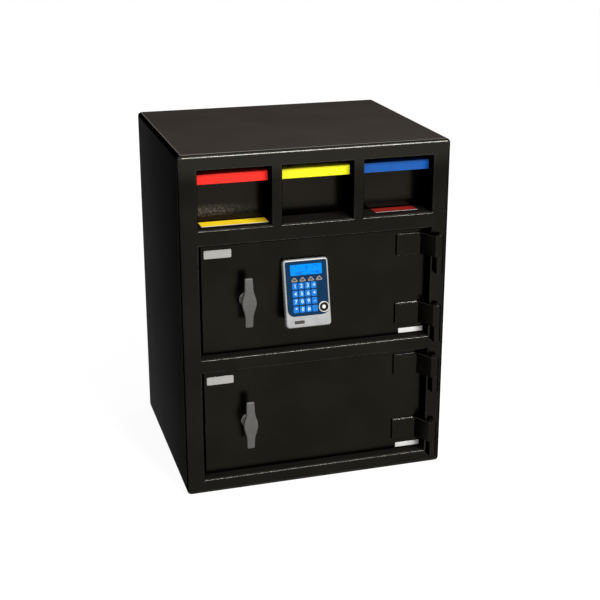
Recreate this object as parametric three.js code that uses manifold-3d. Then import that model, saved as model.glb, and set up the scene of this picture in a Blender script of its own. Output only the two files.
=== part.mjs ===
// Drop safe with three tilting deposit hoppers above two hinged doors, in millimetres.
// +X is to the right, +Y to the back and +Z up. The origin is the middle of the base.
// The sections build in a frame whose front plane is y = 0; the group moves them back at the end.
import * as THREE from "three";
import { RoundedBoxGeometry } from "three/addons/geometries/RoundedBoxGeometry.js";
import { mergeVertices } from "three/addons/utils/BufferGeometryUtils.js";
import Module from "manifold-3d";

const wasm = await Module();
wasm.setup();

// Driving dimensions of the body
const bodyWidth = 558.8;
const bodyDepth = 466.7;
const bodyHeight = 717.6;
const bodySheet = 4.8;
const panelInset = 1.75;
const bendRadius = 9;
const columnWidth = 37;
const topRail = 32;
const windowHeight = 118.6;
const mullionWidth = 22;
const depositRail = 33;
const middleRail = 30;
const bottomRail = 31;
const edgeRadius = 4;
const frameSkirt = 14;
const shelfSheet = 4.8;
const anchorRadius = 9.5;
const anchorInset = 88;

// Driving dimensions of the doors
const doorThickness = 12.7;
const doorSetback = 22;
const doorBevel = 1.5;
const doorGapLatch = 6;
const doorGapHinge = 3;
const doorGapTop = 5;
const doorGapBottom = 3.5;
const jambOverlap = 1.3;

// Driving dimensions of the hinges
const strapHeight = 44;
const strapSheet = 5;
const strapPadLength = 53;
const strapPadInset = 12;
const strapArmRun = 21;
const strapEndInset = 9.5;
const postHeight = 37;
const knuckleRadius = 8;
const knuckleStandoff = 2;
const hingeAxisInset = 14.6;
const hingePinRadius = 4;
const hingePinProud = 1.5;
const hingeChamfer = 1;
const washerSheet = 1.2;
const washerRim = 0.8;

// Driving dimensions of the handles and the boltwork
const handleInset = 96;
const handleRise = 2.5;
const bladeLength = 105;
const bladeWidth = 29;
const bladeEndWidth = 16;
const bladeThickness = 11;
const bladeStandoff = 26;
const bladeBevel = 2.5;
const bladeBevelSteps = 2;
const hubRadius = 13.5;
const hubWaistRadius = 10.5;
const spindleRadius = 6;
const spindleReach = 14;
const camRadius = 21;
const camSheet = 5.5;
const crankPinRadius = 3.5;
const crankPinProud = 3;
const boltRadius = 8;
const boltSpacing = 124;
const boltThrow = 22;
const boltTipInset = 1;
const boltTipChamfer = 1.5;
const carriageWidth = 16;
const carriageHeight = 150;
const carriageInset = 36;
const armSheet = 6;
const armBehindBolts = 2;
const armReach = 29;
const armAboveSpindle = 7;
const armBelowSlot = 7;
const slotClearance = 0.9;
const guideSheet = 3;
const guideInset = 6.5;
const guideUprightSheet = 5;
const guideDepth = 23;
const guideFoot = 26;
const guideHeight = 170;
const deadBarInset = 14;
const deadBarHook = 9.6;
const deadBarHookDepth = 8;
const deadBarMargin = 16;
const deadBarGap = 2.6;
const lockWidth = 84;
const lockHeight = 62;
const lockDepth = 30;
const lockBevel = 4;
const lockBesideArm = 3;

// Driving dimensions of the deposit hoppers
const linerSheet = 2;
const linerFlange = 12;
const recessDepth = 61;
const earRootRise = 13;
const pivotBehindRecess = 9;
const pivotAboveFloor = 8;
const hopperSheet = 2;
const hopperSideGap = 2.8;
const hopperFrontGap = 1;
const hopperTopGap = 13.6;
const lipSetback = 22;
const lipHeight = 16;
const trayLength = 116;
const trayDrop = 15;
const stubRadius = 4;
const stubProud = 1.5;
const stripSheet = 2;
const stripDrop = 2;
const deckSheet = 2;
const deckLength = 184;
const deckLip = 14;
const baffleSheet = 3;
const baffleBehindPivot = 98;
const baffleFlange = 22;
const baffleDrop = 60;
const baffleLip = 12;

// Driving dimensions of the keypad and the name plates
const keypadWidth = 94;
const keypadHeight = 138;
const keypadDepth = 14;
const keypadLean = Math.PI / 14;
const wedgeInset = 7;
const wedgeSink = 3;
const keypadCorner = 7;
const keypadRound = 3;
const keypadBesideSpindle = 121.4;
const keypadRise = 4.2;
const housingBevelSteps = 3;
const overlayMargin = 4;
const overlayChin = 23.5;
const overlaySheet = 0.8;
const overlayCorner = 14;
const screenWidth = 66;
const screenHeight = 21.5;
const screenInset = 10.6;
const screenSheet = 1.2;
const softKeyWidth = 13.5;
const softKeyHeight = 9.8;
const softKeyGap = 3.8;
const softKeyBelowScreen = 3.2;
const softKeyCorner = 3;
const keyWidth = 11.6;
const keyHeight = 13.4;
const keyCorner = 1.6;
const keyColumnGap = 1.6;
const keyRowGap = 2.4;
const keyBlockShift = -6.2;
const keysBelowSoftKeys = 1.9;
const keyColumns = 4;
const keyRows = 4;
const keyBody = 3.2;
const keyProud = 1;
const keyTravel = 1;
const readerRadius = 11;
const readerBore = 8.7;
const readerCoreRadius = 4;
const readerBesideKeys = 1.9;
const readerAboveLastRow = 1.3;
const readerProud = 3;
const readerCoreProud = 1.5;
const plateWidth = 56;
const plateHeight = 17.5;
const plateSheet = 1.2;
const plateCorner = 3;
const plateInset = 12.7;
const upperPlateDrop = 14;
const lowerPlateDrop = 17;

// Clearances and how finely round forms are cut
const fitGap = 0.3;
const overrun = 3;
const roundSides = 32;
const smallRoundSides = 20;
const filletSteps = 4;
const arcSteps = 2;
const keyArcSteps = 1;

const finishes = {
  paint: new THREE.MeshStandardMaterial({ color: 0x24231f, roughness: 0.42, metalness: 0.1 }),
  doorPaint: new THREE.MeshStandardMaterial({ color: 0x1e1d19, roughness: 0.48, metalness: 0.1 }),
  innerPaint: new THREE.MeshStandardMaterial({ color: 0x2b2a27, roughness: 0.55, metalness: 0.1 }),
  castGrey: new THREE.MeshStandardMaterial({ color: 0x706f6a, roughness: 0.45, metalness: 0.8 }),
  steel: new THREE.MeshStandardMaterial({ color: 0xa4a39e, roughness: 0.35, metalness: 1 }),
  plate: new THREE.MeshStandardMaterial({ color: 0xafada8, roughness: 0.4, metalness: 0.9 }),
  silver: new THREE.MeshStandardMaterial({ color: 0xc8c8cb, roughness: 0.38, metalness: 0.5 }),
  navy: new THREE.MeshStandardMaterial({ color: 0x162d50, roughness: 0.35, metalness: 0 }),
  screen: new THREE.MeshStandardMaterial({ color: 0x058cfa, roughness: 0.2, emissive: 0x0466c0 }),
  key: new THREE.MeshStandardMaterial({ color: 0x237dd7, roughness: 0.4, metalness: 0 }),
  softKey: new THREE.MeshStandardMaterial({ color: 0x7d7370, roughness: 0.5, metalness: 0 }),
  reader: new THREE.MeshStandardMaterial({ color: 0xebe6dc, roughness: 0.35, metalness: 0 }),
  red: new THREE.MeshStandardMaterial({ color: 0xff3c37, roughness: 0.4, metalness: 0 }),
  yellow: new THREE.MeshStandardMaterial({ color: 0xfffa28, roughness: 0.4, metalness: 0 }),
  blue: new THREE.MeshStandardMaterial({ color: 0x1e6ecd, roughness: 0.4, metalness: 0 }),
};

// Places that follow from the driving dimensions
const halfWidth = bodyWidth / 2;
const innerHalf = halfWidth - bodySheet;
const openingHalf = halfWidth - columnWidth;
const railSum = bottomRail + middleRail + depositRail + topRail;
const doorOpeningHeight = (bodyHeight - railSum - windowHeight) / 2;
const windowWidth = (2 * openingHalf - 2 * mullionWidth) / 3;
const windowPitch = windowWidth + mullionWidth;
const jambDepth = doorSetback + doorThickness + jambOverlap;
const doorBack = doorSetback + doorThickness;
const lowerOpening = { low: bottomRail, high: bottomRail + doorOpeningHeight };
const upperSill = lowerOpening.high + middleRail;
const upperOpening = { low: upperSill, high: upperSill + doorOpeningHeight };
const windowRow = { low: upperOpening.high + depositRail, high: bodyHeight - topRail };
const hingeAxis = { x: openingHalf + hingeAxisInset, y: -knuckleStandoff - knuckleRadius };
const pivot = { y: recessDepth + pivotBehindRecess, z: windowRow.low + pivotAboveFloor };
const throwTurn = Math.PI / 2;
const crankRadius = boltThrow / 2 / Math.sin(throwTurn / 2);

// Solids and how they are joined and cut
function solidFrom(geometry) {
  geometry.deleteAttribute("normal");
  geometry.deleteAttribute("uv");
  const merged = mergeVertices(geometry, 1e-4);
  const mesh = new wasm.Mesh({
    numProp: 3,
    vertProperties: new Float32Array(merged.attributes.position.array),
    triVerts: new Uint32Array(merged.index.array),
  });
  return new wasm.Manifold(mesh);
}

function geometryFrom(solid) {
  const mesh = solid.getMesh();
  const geometry = new THREE.BufferGeometry();
  geometry.setAttribute("position", new THREE.BufferAttribute(mesh.vertProperties, 3));
  geometry.setIndex(new THREE.BufferAttribute(mesh.triVerts, 1));
  geometry.computeVertexNormals();
  return geometry;
}

const joined = (...solids) => solids.reduce((whole, next) => whole.add(next));
const cut = (solid, ...tools) => tools.reduce((left, tool) => left.subtract(tool), solid);

// A box between two limits on each axis, with corners exactly at those limits.
function block(xs, ys, zs) {
  const geometry = new THREE.BoxGeometry(1, 1, 1);
  const place = geometry.attributes.position;
  const limit = (share, pair) => (share < 0 ? pair[0] : pair[1]);
  for (let i = 0; i < place.count; i++) {
    place.setXYZ(i, limit(place.getX(i), xs), limit(place.getY(i), ys), limit(place.getZ(i), zs));
  }
  return solidFrom(geometry);
}

// How the (u, v) of an outline and the extrusion's own direction lie on each axis of the part.
const lay = {
  x: { put: (u, v, w) => [w, u, v], mirrored: false },
  y: { put: (u, v, w) => [u, w, v], mirrored: true },
  z: { put: (u, v, w) => [u, v, w], mirrored: false },
};

function laid(geometry, axis) {
  const loose = geometry.index ? geometry.toNonIndexed() : geometry;
  const place = loose.attributes.position;
  const corners = [];
  for (let i = 0; i < place.count; i++) {
    corners.push(lay[axis].put(place.getX(i), place.getY(i), place.getZ(i)));
  }
  if (lay[axis].mirrored) {
    for (let i = 0; i < corners.length; i += 3) [corners[i], corners[i + 1]] = [corners[i + 1], corners[i]];
  }
  const turned = new THREE.BufferGeometry();
  turned.setAttribute("position", new THREE.Float32BufferAttribute(corners.flat(), 3));
  return turned;
}

// An outline extruded along an axis from one limit to the other.
function prism(axis, outline, [from, to], steps = arcSteps) {
  const options = { depth: 1, bevelEnabled: false, curveSegments: steps };
  const geometry = new THREE.ExtrudeGeometry(outline, options);
  const place = geometry.attributes.position;
  for (let i = 0; i < place.count; i++) place.setZ(i, place.getZ(i) < 0.5 ? from : to);
  return solidFrom(laid(geometry, axis));
}

// An outline with rounded front and back edges, along an axis.
function softPrism(axis, outline, [from, to], bevel, bevelSteps, steps) {
  const geometry = new THREE.ExtrudeGeometry(outline, {
    depth: to - from - 2 * bevel,
    bevelThickness: bevel,
    bevelSize: bevel,
    bevelOffset: -bevel,
    bevelSegments: bevelSteps,
    curveSegments: steps,
  });
  geometry.translate(0, 0, from + bevel);
  return solidFrom(laid(geometry, axis));
}

function circle(centre, radius, sides = roundSides) {
  const points = [];
  for (let i = 0; i < sides; i++) {
    const angle = (2 * Math.PI * (i + 0.5)) / sides;
    const [u, v] = [radius * Math.cos(angle), radius * Math.sin(angle)];
    points.push(new THREE.Vector2(centre[0] + u, centre[1] + v));
  }
  return new THREE.Shape(points);
}

const rod = (axis, centre, radius, span, sides) => prism(axis, circle(centre, radius, sides), span);

// How a profile turned about the lathe's own axis lies about each axis of the part.
const spun = {
  x: (u, along, v) => [along, v, u],
  y: (u, along, v) => [u, along, v],
  z: (u, along, v) => [v, u, along],
};

// A turned piece about an axis, from the profile's radii and places along the axis, lowest first.
function turned(axis, [c0, c1], profile, sides = roundSides) {
  const points = profile.map(([radius, along]) => new THREE.Vector2(radius, along));
  const geometry = new THREE.LatheGeometry(points, sides);
  const shift = { x: [0, c0, c1], y: [c0, 0, c1], z: [c0, c1, 0] }[axis];
  const place = geometry.attributes.position;
  for (let i = 0; i < place.count; i++) {
    const at = spun[axis](place.getX(i), place.getY(i), place.getZ(i));
    place.setXYZ(i, at[0] + shift[0], at[1] + shift[1], at[2] + shift[2]);
  }
  return solidFrom(geometry);
}

function roundedRect([u0, u1], [v0, v1], radius) {
  const shape = new THREE.Shape();
  shape.absarc(u1 - radius, v0 + radius, radius, -Math.PI / 2, 0);
  shape.absarc(u1 - radius, v1 - radius, radius, 0, Math.PI / 2);
  shape.absarc(u0 + radius, v1 - radius, radius, Math.PI / 2, Math.PI);
  shape.absarc(u0 + radius, v0 + radius, radius, Math.PI, 1.5 * Math.PI);
  return shape;
}

// The outline of a bent sheet: a path along one face and its mitred offset to the right of the path.
function bentSheet(path, thickness) {
  const points = path.map(([u, v]) => new THREE.Vector2(u, v));
  const normals = points.slice(1).map((next, i) => {
    const along = next.clone().sub(points[i]).normalize();
    return new THREE.Vector2(along.y, -along.x);
  });
  const offset = points.map((point, i) => {
    const before = normals[Math.max(i - 1, 0)];
    const after = normals[Math.min(i, normals.length - 1)];
    const mitre = before.clone().add(after).multiplyScalar(thickness / (1 + before.dot(after)));
    return point.clone().add(mitre);
  });
  return new THREE.Shape([...points, ...offset.reverse()]);
}

// A solid through rings of corners that match one to one; each ring is flat and convex.
function loft(rings) {
  const count = rings[0].length;
  const corners = [];
  const face = (...points) => corners.push(...points.flat());
  for (let r = 1; r < rings.length; r++) {
    for (let i = 0; i < count; i++) {
      const next = (i + 1) % count;
      face(rings[r - 1][i], rings[r - 1][next], rings[r][next]);
      face(rings[r - 1][i], rings[r][next], rings[r][i]);
    }
  }
  const [first, last] = [rings[0], rings[rings.length - 1]];
  for (let i = 1; i < count - 1; i++) {
    face(first[0], first[i + 1], first[i]);
    face(last[0], last[i], last[i + 1]);
  }
  const geometry = new THREE.BufferGeometry();
  geometry.setAttribute("position", new THREE.Float32BufferAttribute(corners, 3));
  return solidFrom(geometry);
}

// One rectangle across Y, counter-clockwise as seen from the back, so that lofts run towards -Y.
const rectangleRing = ([x0, x1], [z0, z1], y) => [[x0, y, z0], [x1, y, z0], [x1, y, z1], [x0, y, z1]];
const grown = ([low, high], by) => [low - by, high + by];
const about = (middle, size) => [middle - size / 2, middle + size / 2];

// A cutter for an opening in the front plate whose edge is rounded over towards the front.
function softOpening(xs, zs, depth) {
  const rings = [rectangleRing(xs, zs, depth)];
  for (let i = 0; i <= filletSteps; i++) {
    const angle = (i / filletSteps) * (Math.PI / 2);
    const flare = edgeRadius * (1 - Math.cos(angle));
    rings.push(rectangleRing(grown(xs, flare), grown(zs, flare), edgeRadius * (1 - Math.sin(angle))));
  }
  rings.push(rectangleRing(grown(xs, edgeRadius), grown(zs, edgeRadius), -overrun));
  return loft(rings);
}

// A plate whose front edges are bevelled.
function bevelledPlate(xs, zs, front, back, bevel) {
  return loft([
    rectangleRing(xs, zs, back),
    rectangleRing(xs, zs, front + bevel),
    rectangleRing(grown(xs, -bevel), grown(zs, -bevel), front),
  ]);
}

const part = new THREE.Group();

function addPiece(name, solid, finish) {
  const mesh = new THREE.Mesh(geometryFrom(solid), finish);
  mesh.name = name;
  part.add(mesh);
}

// Body: wrap, front frame, back panel and shelf
function outerForm() {
  const geometry = new RoundedBoxGeometry(bodyWidth, bodyDepth, bodyHeight, filletSteps, bendRadius);
  geometry.translate(0, bodyDepth / 2, bodyHeight / 2);
  return solidFrom(geometry.index ? geometry.toNonIndexed() : geometry);
}

const windowCentres = [-windowPitch, 0, windowPitch];
const doorOpenings = [lowerOpening, upperOpening];
const openingSpan = [-openingHalf, openingHalf];
const zSpan = (range) => [range.low, range.high];

const pastWidth = [-halfWidth - overrun, halfWidth + overrun];
const pastHeight = [-overrun, bodyHeight + overrun];
const innerWidth = [-innerHalf, innerHalf];
const innerHeight = [bodySheet, bodyHeight - bodySheet];

function frontFrame(outer) {
  const front = outer.intersect(block(pastWidth, [-overrun, frameSkirt], pastHeight));
  const hollow = block(innerWidth, [bodySheet, frameSkirt + overrun], innerHeight);
  const jambs = doorOpenings.map((range) =>
    block(grown(openingSpan, bodySheet), [bodySheet / 2, jambDepth], grown(zSpan(range), bodySheet)),
  );
  const doorways = doorOpenings.map((range) =>
    softOpening(openingSpan, zSpan(range), jambDepth + overrun),
  );
  const windows = windowCentres.map((x) =>
    softOpening(about(x, windowWidth), zSpan(windowRow), bodySheet + overrun),
  );
  return cut(joined(cut(front, hollow), ...jambs), ...doorways, ...windows);
}

function bodyWrap(outer) {
  const rear = outer.intersect(block(pastWidth, [frameSkirt, bodyDepth + overrun], pastHeight));
  const hollow = block(innerWidth, [0, bodyDepth + overrun], innerHeight);
  const throughBase = [-overrun, bodySheet + overrun];
  const anchors = [-1, 1].flatMap((side) =>
    [anchorInset, bodyDepth - anchorInset].map((y) =>
      rod("z", [side * (halfWidth - anchorInset), y], anchorRadius, throughBase, smallRoundSides),
    ),
  );
  return cut(rear, hollow, ...anchors);
}

const panelBack = bodyDepth - panelInset;
const panelFront = panelBack - bodySheet;

function addBody() {
  const outer = outerForm();
  addPiece("front_frame", frontFrame(outer), finishes.paint);
  addPiece("body_wrap", bodyWrap(outer), finishes.paint);
  const inside = [-innerHalf + fitGap, innerHalf - fitGap];
  const panelHeight = [bodySheet + fitGap, bodyHeight - bodySheet - fitGap];
  addPiece("back_panel", block(inside, [panelFront, panelBack], panelHeight), finishes.paint);
  const shelfHeight = [upperSill - shelfSheet, upperSill];
  addPiece("middle_shelf", block(inside, [jambDepth, panelFront - fitGap], shelfHeight), finishes.innerPaint);
}

// Deposit section: liner boxes, deck and baffle
const recessFront = bodySheet;

// An ear carries the hopper's stub pin behind the recess; its rear end is round about the pin.
function earOutline() {
  const root = recessDepth - linerSheet;
  const low = windowRow.low - linerSheet;
  const shape = new THREE.Shape();
  shape.moveTo(root, low);
  shape.lineTo(pivot.y, low);
  shape.absarc(pivot.y, pivot.z, pivot.z - low, -Math.PI / 2, Math.PI / 2);
  shape.lineTo(root, pivot.z + earRootRise);
  return shape;
}

function depositLiner() {
  const across = grown(openingSpan, linerFlange);
  const flange = block(across, [recessFront, recessFront + linerSheet], grown(zSpan(windowRow), linerFlange));
  const boxHeight = grown(zSpan(windowRow), linerSheet);
  const boxes = windowCentres.map((x) =>
    block(grown(about(x, windowWidth), linerSheet), [recessFront, recessDepth], boxHeight),
  );
  const hollows = windowCentres.map((x) =>
    block(about(x, windowWidth), [0, recessDepth + overrun], zSpan(windowRow)),
  );
  const ears = windowCentres.flatMap((x) =>
    [-1, 1].map((side) => {
      const wall = x + (side * windowWidth) / 2;
      const span = [wall, wall + side * linerSheet].sort((a, b) => a - b);
      const bore = rod("x", [pivot.y, pivot.z], stubRadius + fitGap, grown(span, overrun), smallRoundSides);
      return cut(prism("x", earOutline(), span), bore);
    }),
  );
  return joined(cut(joined(flange, ...boxes), ...hollows), ...ears);
}

function addDepositSection() {
  addPiece("deposit_liner", depositLiner(), finishes.paint);
  const across = [-innerHalf + fitGap, innerHalf - fitGap];
  const deckTop = upperOpening.high + bodySheet + deckSheet;
  const deckPath = [
    [bodySheet + fitGap, deckTop],
    [deckLength, deckTop],
    [deckLength, deckTop - deckLip],
  ];
  addPiece("deposit_deck", prism("x", bentSheet(deckPath, deckSheet), across), finishes.innerPaint);
  const roof = bodyHeight - bodySheet;
  const baffleY = pivot.y + baffleBehindPivot;
  const bafflePath = [
    [baffleY + baffleFlange, roof],
    [baffleY, roof],
    [baffleY, roof - baffleDrop],
    [baffleY - baffleLip / 2, roof - baffleDrop - baffleLip],
  ].reverse();
  addPiece("drop_baffle", prism("x", bentSheet(bafflePath, baffleSheet), across), finishes.innerPaint);
}

// One hopper: a bent sheet with lip, front and tray, two cheeks and two stub pins, and its coloured strip.
const hopperHalf = windowWidth / 2 - hopperSideGap;
const lipTop = windowRow.high - hopperTopGap;
const lipBottom = lipTop - lipHeight;
const hopperFront = recessDepth + hopperFrontGap;
const hopperHeel = { y: hopperFront + hopperSheet, z: pivot.z - pivotAboveFloor / 2 };

function cheekOutline() {
  const heel = new THREE.Vector2(hopperHeel.y - hopperSheet / 2, hopperHeel.z - hopperSheet / 2);
  const radius = lipTop - hopperSheet / 2 - pivot.z;
  const trayAngle = -Math.atan2(trayDrop, trayLength);
  const frontAngle = Math.PI / 2 + Math.asin((pivot.y - heel.x) / radius);
  const shape = new THREE.Shape();
  shape.absarc(pivot.y, pivot.z, radius, trayAngle, frontAngle);
  shape.lineTo(heel.x, heel.y);
  return shape;
}

function hopper(x) {
  const path = [
    [lipSetback, lipBottom],
    [lipSetback, lipTop],
    [hopperHeel.y, lipTop],
    [hopperHeel.y, hopperHeel.z],
    [hopperHeel.y + trayLength, hopperHeel.z - trayDrop],
  ];
  const sheet = prism("x", bentSheet(path, hopperSheet), [x - hopperHalf, x + hopperHalf]);
  const sides = [-1, 1].flatMap((side) => {
    const edge = x + side * hopperHalf;
    const cheek = [edge, edge - side * hopperSheet].sort((a, b) => a - b);
    const stubEnd = x + side * (windowWidth / 2 + linerSheet + stubProud);
    const stub = [edge - (side * hopperSheet) / 2, stubEnd].sort((a, b) => a - b);
    return [
      prism("x", cheekOutline(), cheek, roundSides / 4),
      rod("x", [pivot.y, pivot.z], stubRadius, stub, smallRoundSides),
    ];
  });
  return joined(sheet, ...sides);
}

function hopperStrip(x) {
  const path = [
    [lipSetback - stripSheet, lipBottom - stripDrop],
    [lipSetback - stripSheet, lipTop + stripSheet],
    [hopperHeel.y, lipTop + stripSheet],
  ];
  return prism("x", bentSheet(path, stripSheet), [x - hopperHalf, x + hopperHalf]);
}

function addHoppers() {
  const sides = ["left", "middle", "right"];
  const colours = [finishes.red, finishes.yellow, finishes.blue];
  windowCentres.forEach((x, i) => {
    addPiece(`hopper_${sides[i]}`, hopper(x), finishes.innerPaint);
    addPiece(`hopper_strip_${sides[i]}`, hopperStrip(x), colours[i]);
  });
}

// Doors, each with its dead bar
const doorSpan = [-openingHalf + doorGapLatch, openingHalf - doorGapHinge];
const doorHeight = (range) => [range.low + doorGapBottom, range.high - doorGapTop];
const doorMiddle = (range) => (range.low + range.high) / 2;
const spindlePlace = (range) => ({ x: -openingHalf + handleInset, z: doorMiddle(range) - handleRise });

function doorPlate(range) {
  const spindle = spindlePlace(range);
  const plate = bevelledPlate(doorSpan, doorHeight(range), doorSetback, doorBack, doorBevel);
  const through = [doorSetback - overrun, doorBack + overrun];
  return cut(plate, rod("y", [spindle.x, spindle.z], spindleRadius + fitGap, through, smallRoundSides));
}

// The dead bar hooks behind the hinge-side jamb, clear of it as the door swings.
function deadBar(range) {
  const root = doorSpan[1] - deadBarInset;
  const hookFront = jambDepth + deadBarGap;
  const outline = new THREE.Shape([
    new THREE.Vector2(root, doorBack),
    new THREE.Vector2(doorSpan[1] - doorBevel, doorBack),
    new THREE.Vector2(doorSpan[1] - doorBevel, hookFront),
    new THREE.Vector2(doorSpan[1] + deadBarHook, hookFront),
    new THREE.Vector2(doorSpan[1] + deadBarHook, hookFront + deadBarHookDepth),
    new THREE.Vector2(root, hookFront + deadBarHookDepth),
  ]);
  return prism("z", outline, grown(doorHeight(range), -deadBarMargin));
}

// Hinges: a bent strap with a knuckle on the door, and a post with the pin on the frame
function strap([low, high]) {
  const padEnd = doorSpan[1] - strapPadInset;
  const armEnd = padEnd + strapArmRun;
  const back = hingeAxis.y - knuckleRadius + strapSheet;
  const path = [
    [padEnd - strapPadLength, doorSetback],
    [padEnd, doorSetback],
    [armEnd, back],
    [hingeAxis.x, back],
  ];
  const centre = [hingeAxis.x, hingeAxis.y];
  const leaf = prism("z", bentSheet(path, strapSheet), [low, high]);
  const knuckle = rod("z", centre, knuckleRadius, [low, high]);
  const through = [low - overrun, high + overrun];
  const bore = rod("z", centre, hingePinRadius + fitGap, through, smallRoundSides);
  return cut(joined(leaf, knuckle), bore);
}

// The post is one turned form, barrel, thrust washer and pin, on a weld block.
function hingePost([low, high]) {
  const top = low - fitGap;
  const bottom = top - postHeight;
  const pinTop = high + hingePinProud;
  const profile = [
    [0, bottom],
    [knuckleRadius - hingeChamfer, bottom],
    [knuckleRadius, bottom + hingeChamfer],
    [knuckleRadius, top - washerSheet],
    [knuckleRadius + washerRim, top - washerSheet],
    [knuckleRadius + washerRim, top],
    [hingePinRadius, top],
    [hingePinRadius, pinTop - hingeChamfer],
    [hingePinRadius - hingeChamfer, pinTop],
    [0, pinTop],
  ];
  const weldWidth = about(hingeAxis.x, 2 * knuckleRadius);
  const weld = block(weldWidth, [hingeAxis.y, 0], [bottom + hingeChamfer, top - washerSheet]);
  return joined(turned("z", [hingeAxis.x, hingeAxis.y], profile), weld);
}

function strapRanges(range) {
  const topStrap = range.high - doorGapTop - strapEndInset;
  const bottomStrap = range.low + (range.high - topStrap) + doorGapBottom + strapEndInset;
  return [
    [topStrap - strapHeight, topStrap],
    [bottomStrap, bottomStrap + strapHeight],
  ];
}

// Handles: a hub and a blade that is widest across the hub
function bladeOutline(spindle) {
  const half = bladeLength / 2;
  const profileShares = [
    [-1, 0], [-0.72, 0], [-0.5, 0.1], [-0.18, 0.94], [0, 1],
    [0.18, 0.94], [0.5, 0.1], [0.72, 0], [0.93, 0], [0.985, -0.45],
  ];
  const right = profileShares.map(([along, wide]) => {
    const reach = bladeEndWidth / 2 + (wide * (bladeWidth - bladeEndWidth)) / 2;
    return new THREE.Vector2(spindle.x + reach, spindle.z + along * half);
  });
  const left = right.map((point) => new THREE.Vector2(2 * spindle.x - point.x, point.y)).reverse();
  return new THREE.Shape([...right, ...left]);
}

function handle(range) {
  const spindle = spindlePlace(range);
  const bladeBack = doorSetback - bladeStandoff;
  const hubProfile = [
    [0, bladeBack - bladeBevel],
    [hubRadius, bladeBack - bladeBevel],
    [hubWaistRadius, doorSetback - bladeStandoff / 2],
    [hubRadius, doorSetback - bladeStandoff / 4],
    [hubRadius, doorSetback - fitGap],
    [0, doorSetback - fitGap],
  ];
  const hub = turned("y", [spindle.x, spindle.z], hubProfile);
  const bladeDepth = [bladeBack - bladeThickness, bladeBack];
  const blade = softPrism("y", bladeOutline(spindle), bladeDepth, bladeBevel, bladeBevelSteps, filletSteps);
  const socketDepth = [doorSetback - spindleReach, doorSetback + overrun];
  const socket = rod("y", [spindle.x, spindle.z], spindleRadius + fitGap, socketDepth, smallRoundSides);
  return cut(joined(hub, blade), socket);
}

// Boltwork on the inner face of a door: spindle with cam and crank pin, bolt carriage and guide
const boltY = doorBack + guideSheet + fitGap + boltRadius;
const carriageY = [boltY - boltRadius, boltY + boltRadius];
const carriageX = [doorSpan[0] + carriageInset, doorSpan[0] + carriageInset + carriageWidth];
const armY = about(boltY + armBehindBolts, armSheet);
const camY = [armY[0] - fitGap - camSheet, armY[0] - fitGap];
const crankDrop = boltThrow / 2;

function spindleCam(range) {
  const { x, z } = spindlePlace(range);
  const shaftFront = doorSetback - spindleReach + fitGap;
  const pinPlace = [x + boltThrow / 2, z - crankDrop];
  return joined(
    rod("y", [x, z], spindleRadius, [shaftFront, camY[1]], smallRoundSides),
    rod("y", [x, z], camRadius, camY),
    rod("y", pinPlace, crankPinRadius, [camY[0], armY[1] + crankPinProud], smallRoundSides),
  );
}

function boltCarriage(range) {
  const { x, z } = spindlePlace(range);
  const bar = block(carriageX, carriageY, about(z, carriageHeight));
  const slotCentre = x + boltThrow / 2;
  const slotHalf = crankPinRadius + slotClearance;
  const slotHeight = [z - crankRadius - slotHalf, z - crankDrop + slotHalf];
  const armX = [carriageX[1] - fitGap, x + armReach];
  const arm = block(armX, armY, [slotHeight[0] - armBelowSlot, z + armAboveSpindle]);
  const slotOutline = roundedRect(about(slotCentre, 2 * slotHalf), slotHeight, slotHalf);
  const slot = prism("y", slotOutline, grown(armY, overrun));
  const tip = doorSpan[0] + boltTipInset;
  const boltProfile = [
    [0, tip],
    [boltRadius - boltTipChamfer, tip],
    [boltRadius, tip + boltTipChamfer],
    [boltRadius, carriageX[1]],
    [0, carriageX[1]],
  ];
  const bolts = [-1, 1].map((side) =>
    turned("x", [boltY, z + (side * boltSpacing) / 2], boltProfile, smallRoundSides),
  );
  return cut(joined(bar, arm, ...bolts), slot);
}

function boltGuide(range) {
  const { z } = spindlePlace(range);
  const upright = doorSpan[0] + guideInset;
  const height = about(z, guideHeight);
  const foot = block([upright, upright + guideFoot], [doorBack, doorBack + guideSheet], height);
  const wallWidth = [upright, upright + guideUprightSheet];
  const wall = block(wallWidth, [doorBack, doorBack + guideDepth], height);
  const through = grown(wallWidth, overrun);
  const bores = [-1, 1].map((side) =>
    rod("x", [boltY, z + (side * boltSpacing) / 2], boltRadius + fitGap, through, smallRoundSides),
  );
  return cut(joined(foot, wall), ...bores);
}

// The lock case sits just past where the carriage's arm ends when the bolts are drawn.
function lockCase(range) {
  const { x, z } = spindlePlace(range);
  const left = x + armReach + lockBesideArm;
  const xs = [left, left + lockWidth];
  const zs = about(z, lockHeight);
  const back = doorBack + lockDepth;
  return loft([
    rectangleRing(grown(xs, -lockBevel), grown(zs, -lockBevel), back),
    rectangleRing(xs, zs, back - lockBevel),
    rectangleRing(xs, zs, doorBack),
  ]);
}

function namePlate(drop, range) {
  const left = plateInset - openingHalf;
  const top = range.high - drop;
  const outline = roundedRect([left, left + plateWidth], [top - plateHeight, top], plateCorner);
  return prism("y", outline, [doorSetback - plateSheet, doorSetback]);
}

function addDoor(label, range, firstHinge, plateDrop) {
  addPiece(`door_${label}`, doorPlate(range), finishes.doorPaint);
  addPiece(`dead_bar_${label}`, deadBar(range), finishes.doorPaint);
  strapRanges(range).forEach((span, i) => {
    addPiece(`hinge_strap_${firstHinge + i}`, strap(span), finishes.doorPaint);
    addPiece(`hinge_post_${firstHinge + i}`, hingePost(span), finishes.paint);
  });
  addPiece(`handle_${label}`, handle(range), finishes.castGrey);
  addPiece(`spindle_cam_${label}`, spindleCam(range), finishes.steel);
  addPiece(`bolt_carriage_${label}`, boltCarriage(range), finishes.steel);
  addPiece(`bolt_guide_${label}`, boltGuide(range), finishes.innerPaint);
  addPiece(`name_plate_${label}`, namePlate(plateDrop, range), finishes.plate);
}

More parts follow.
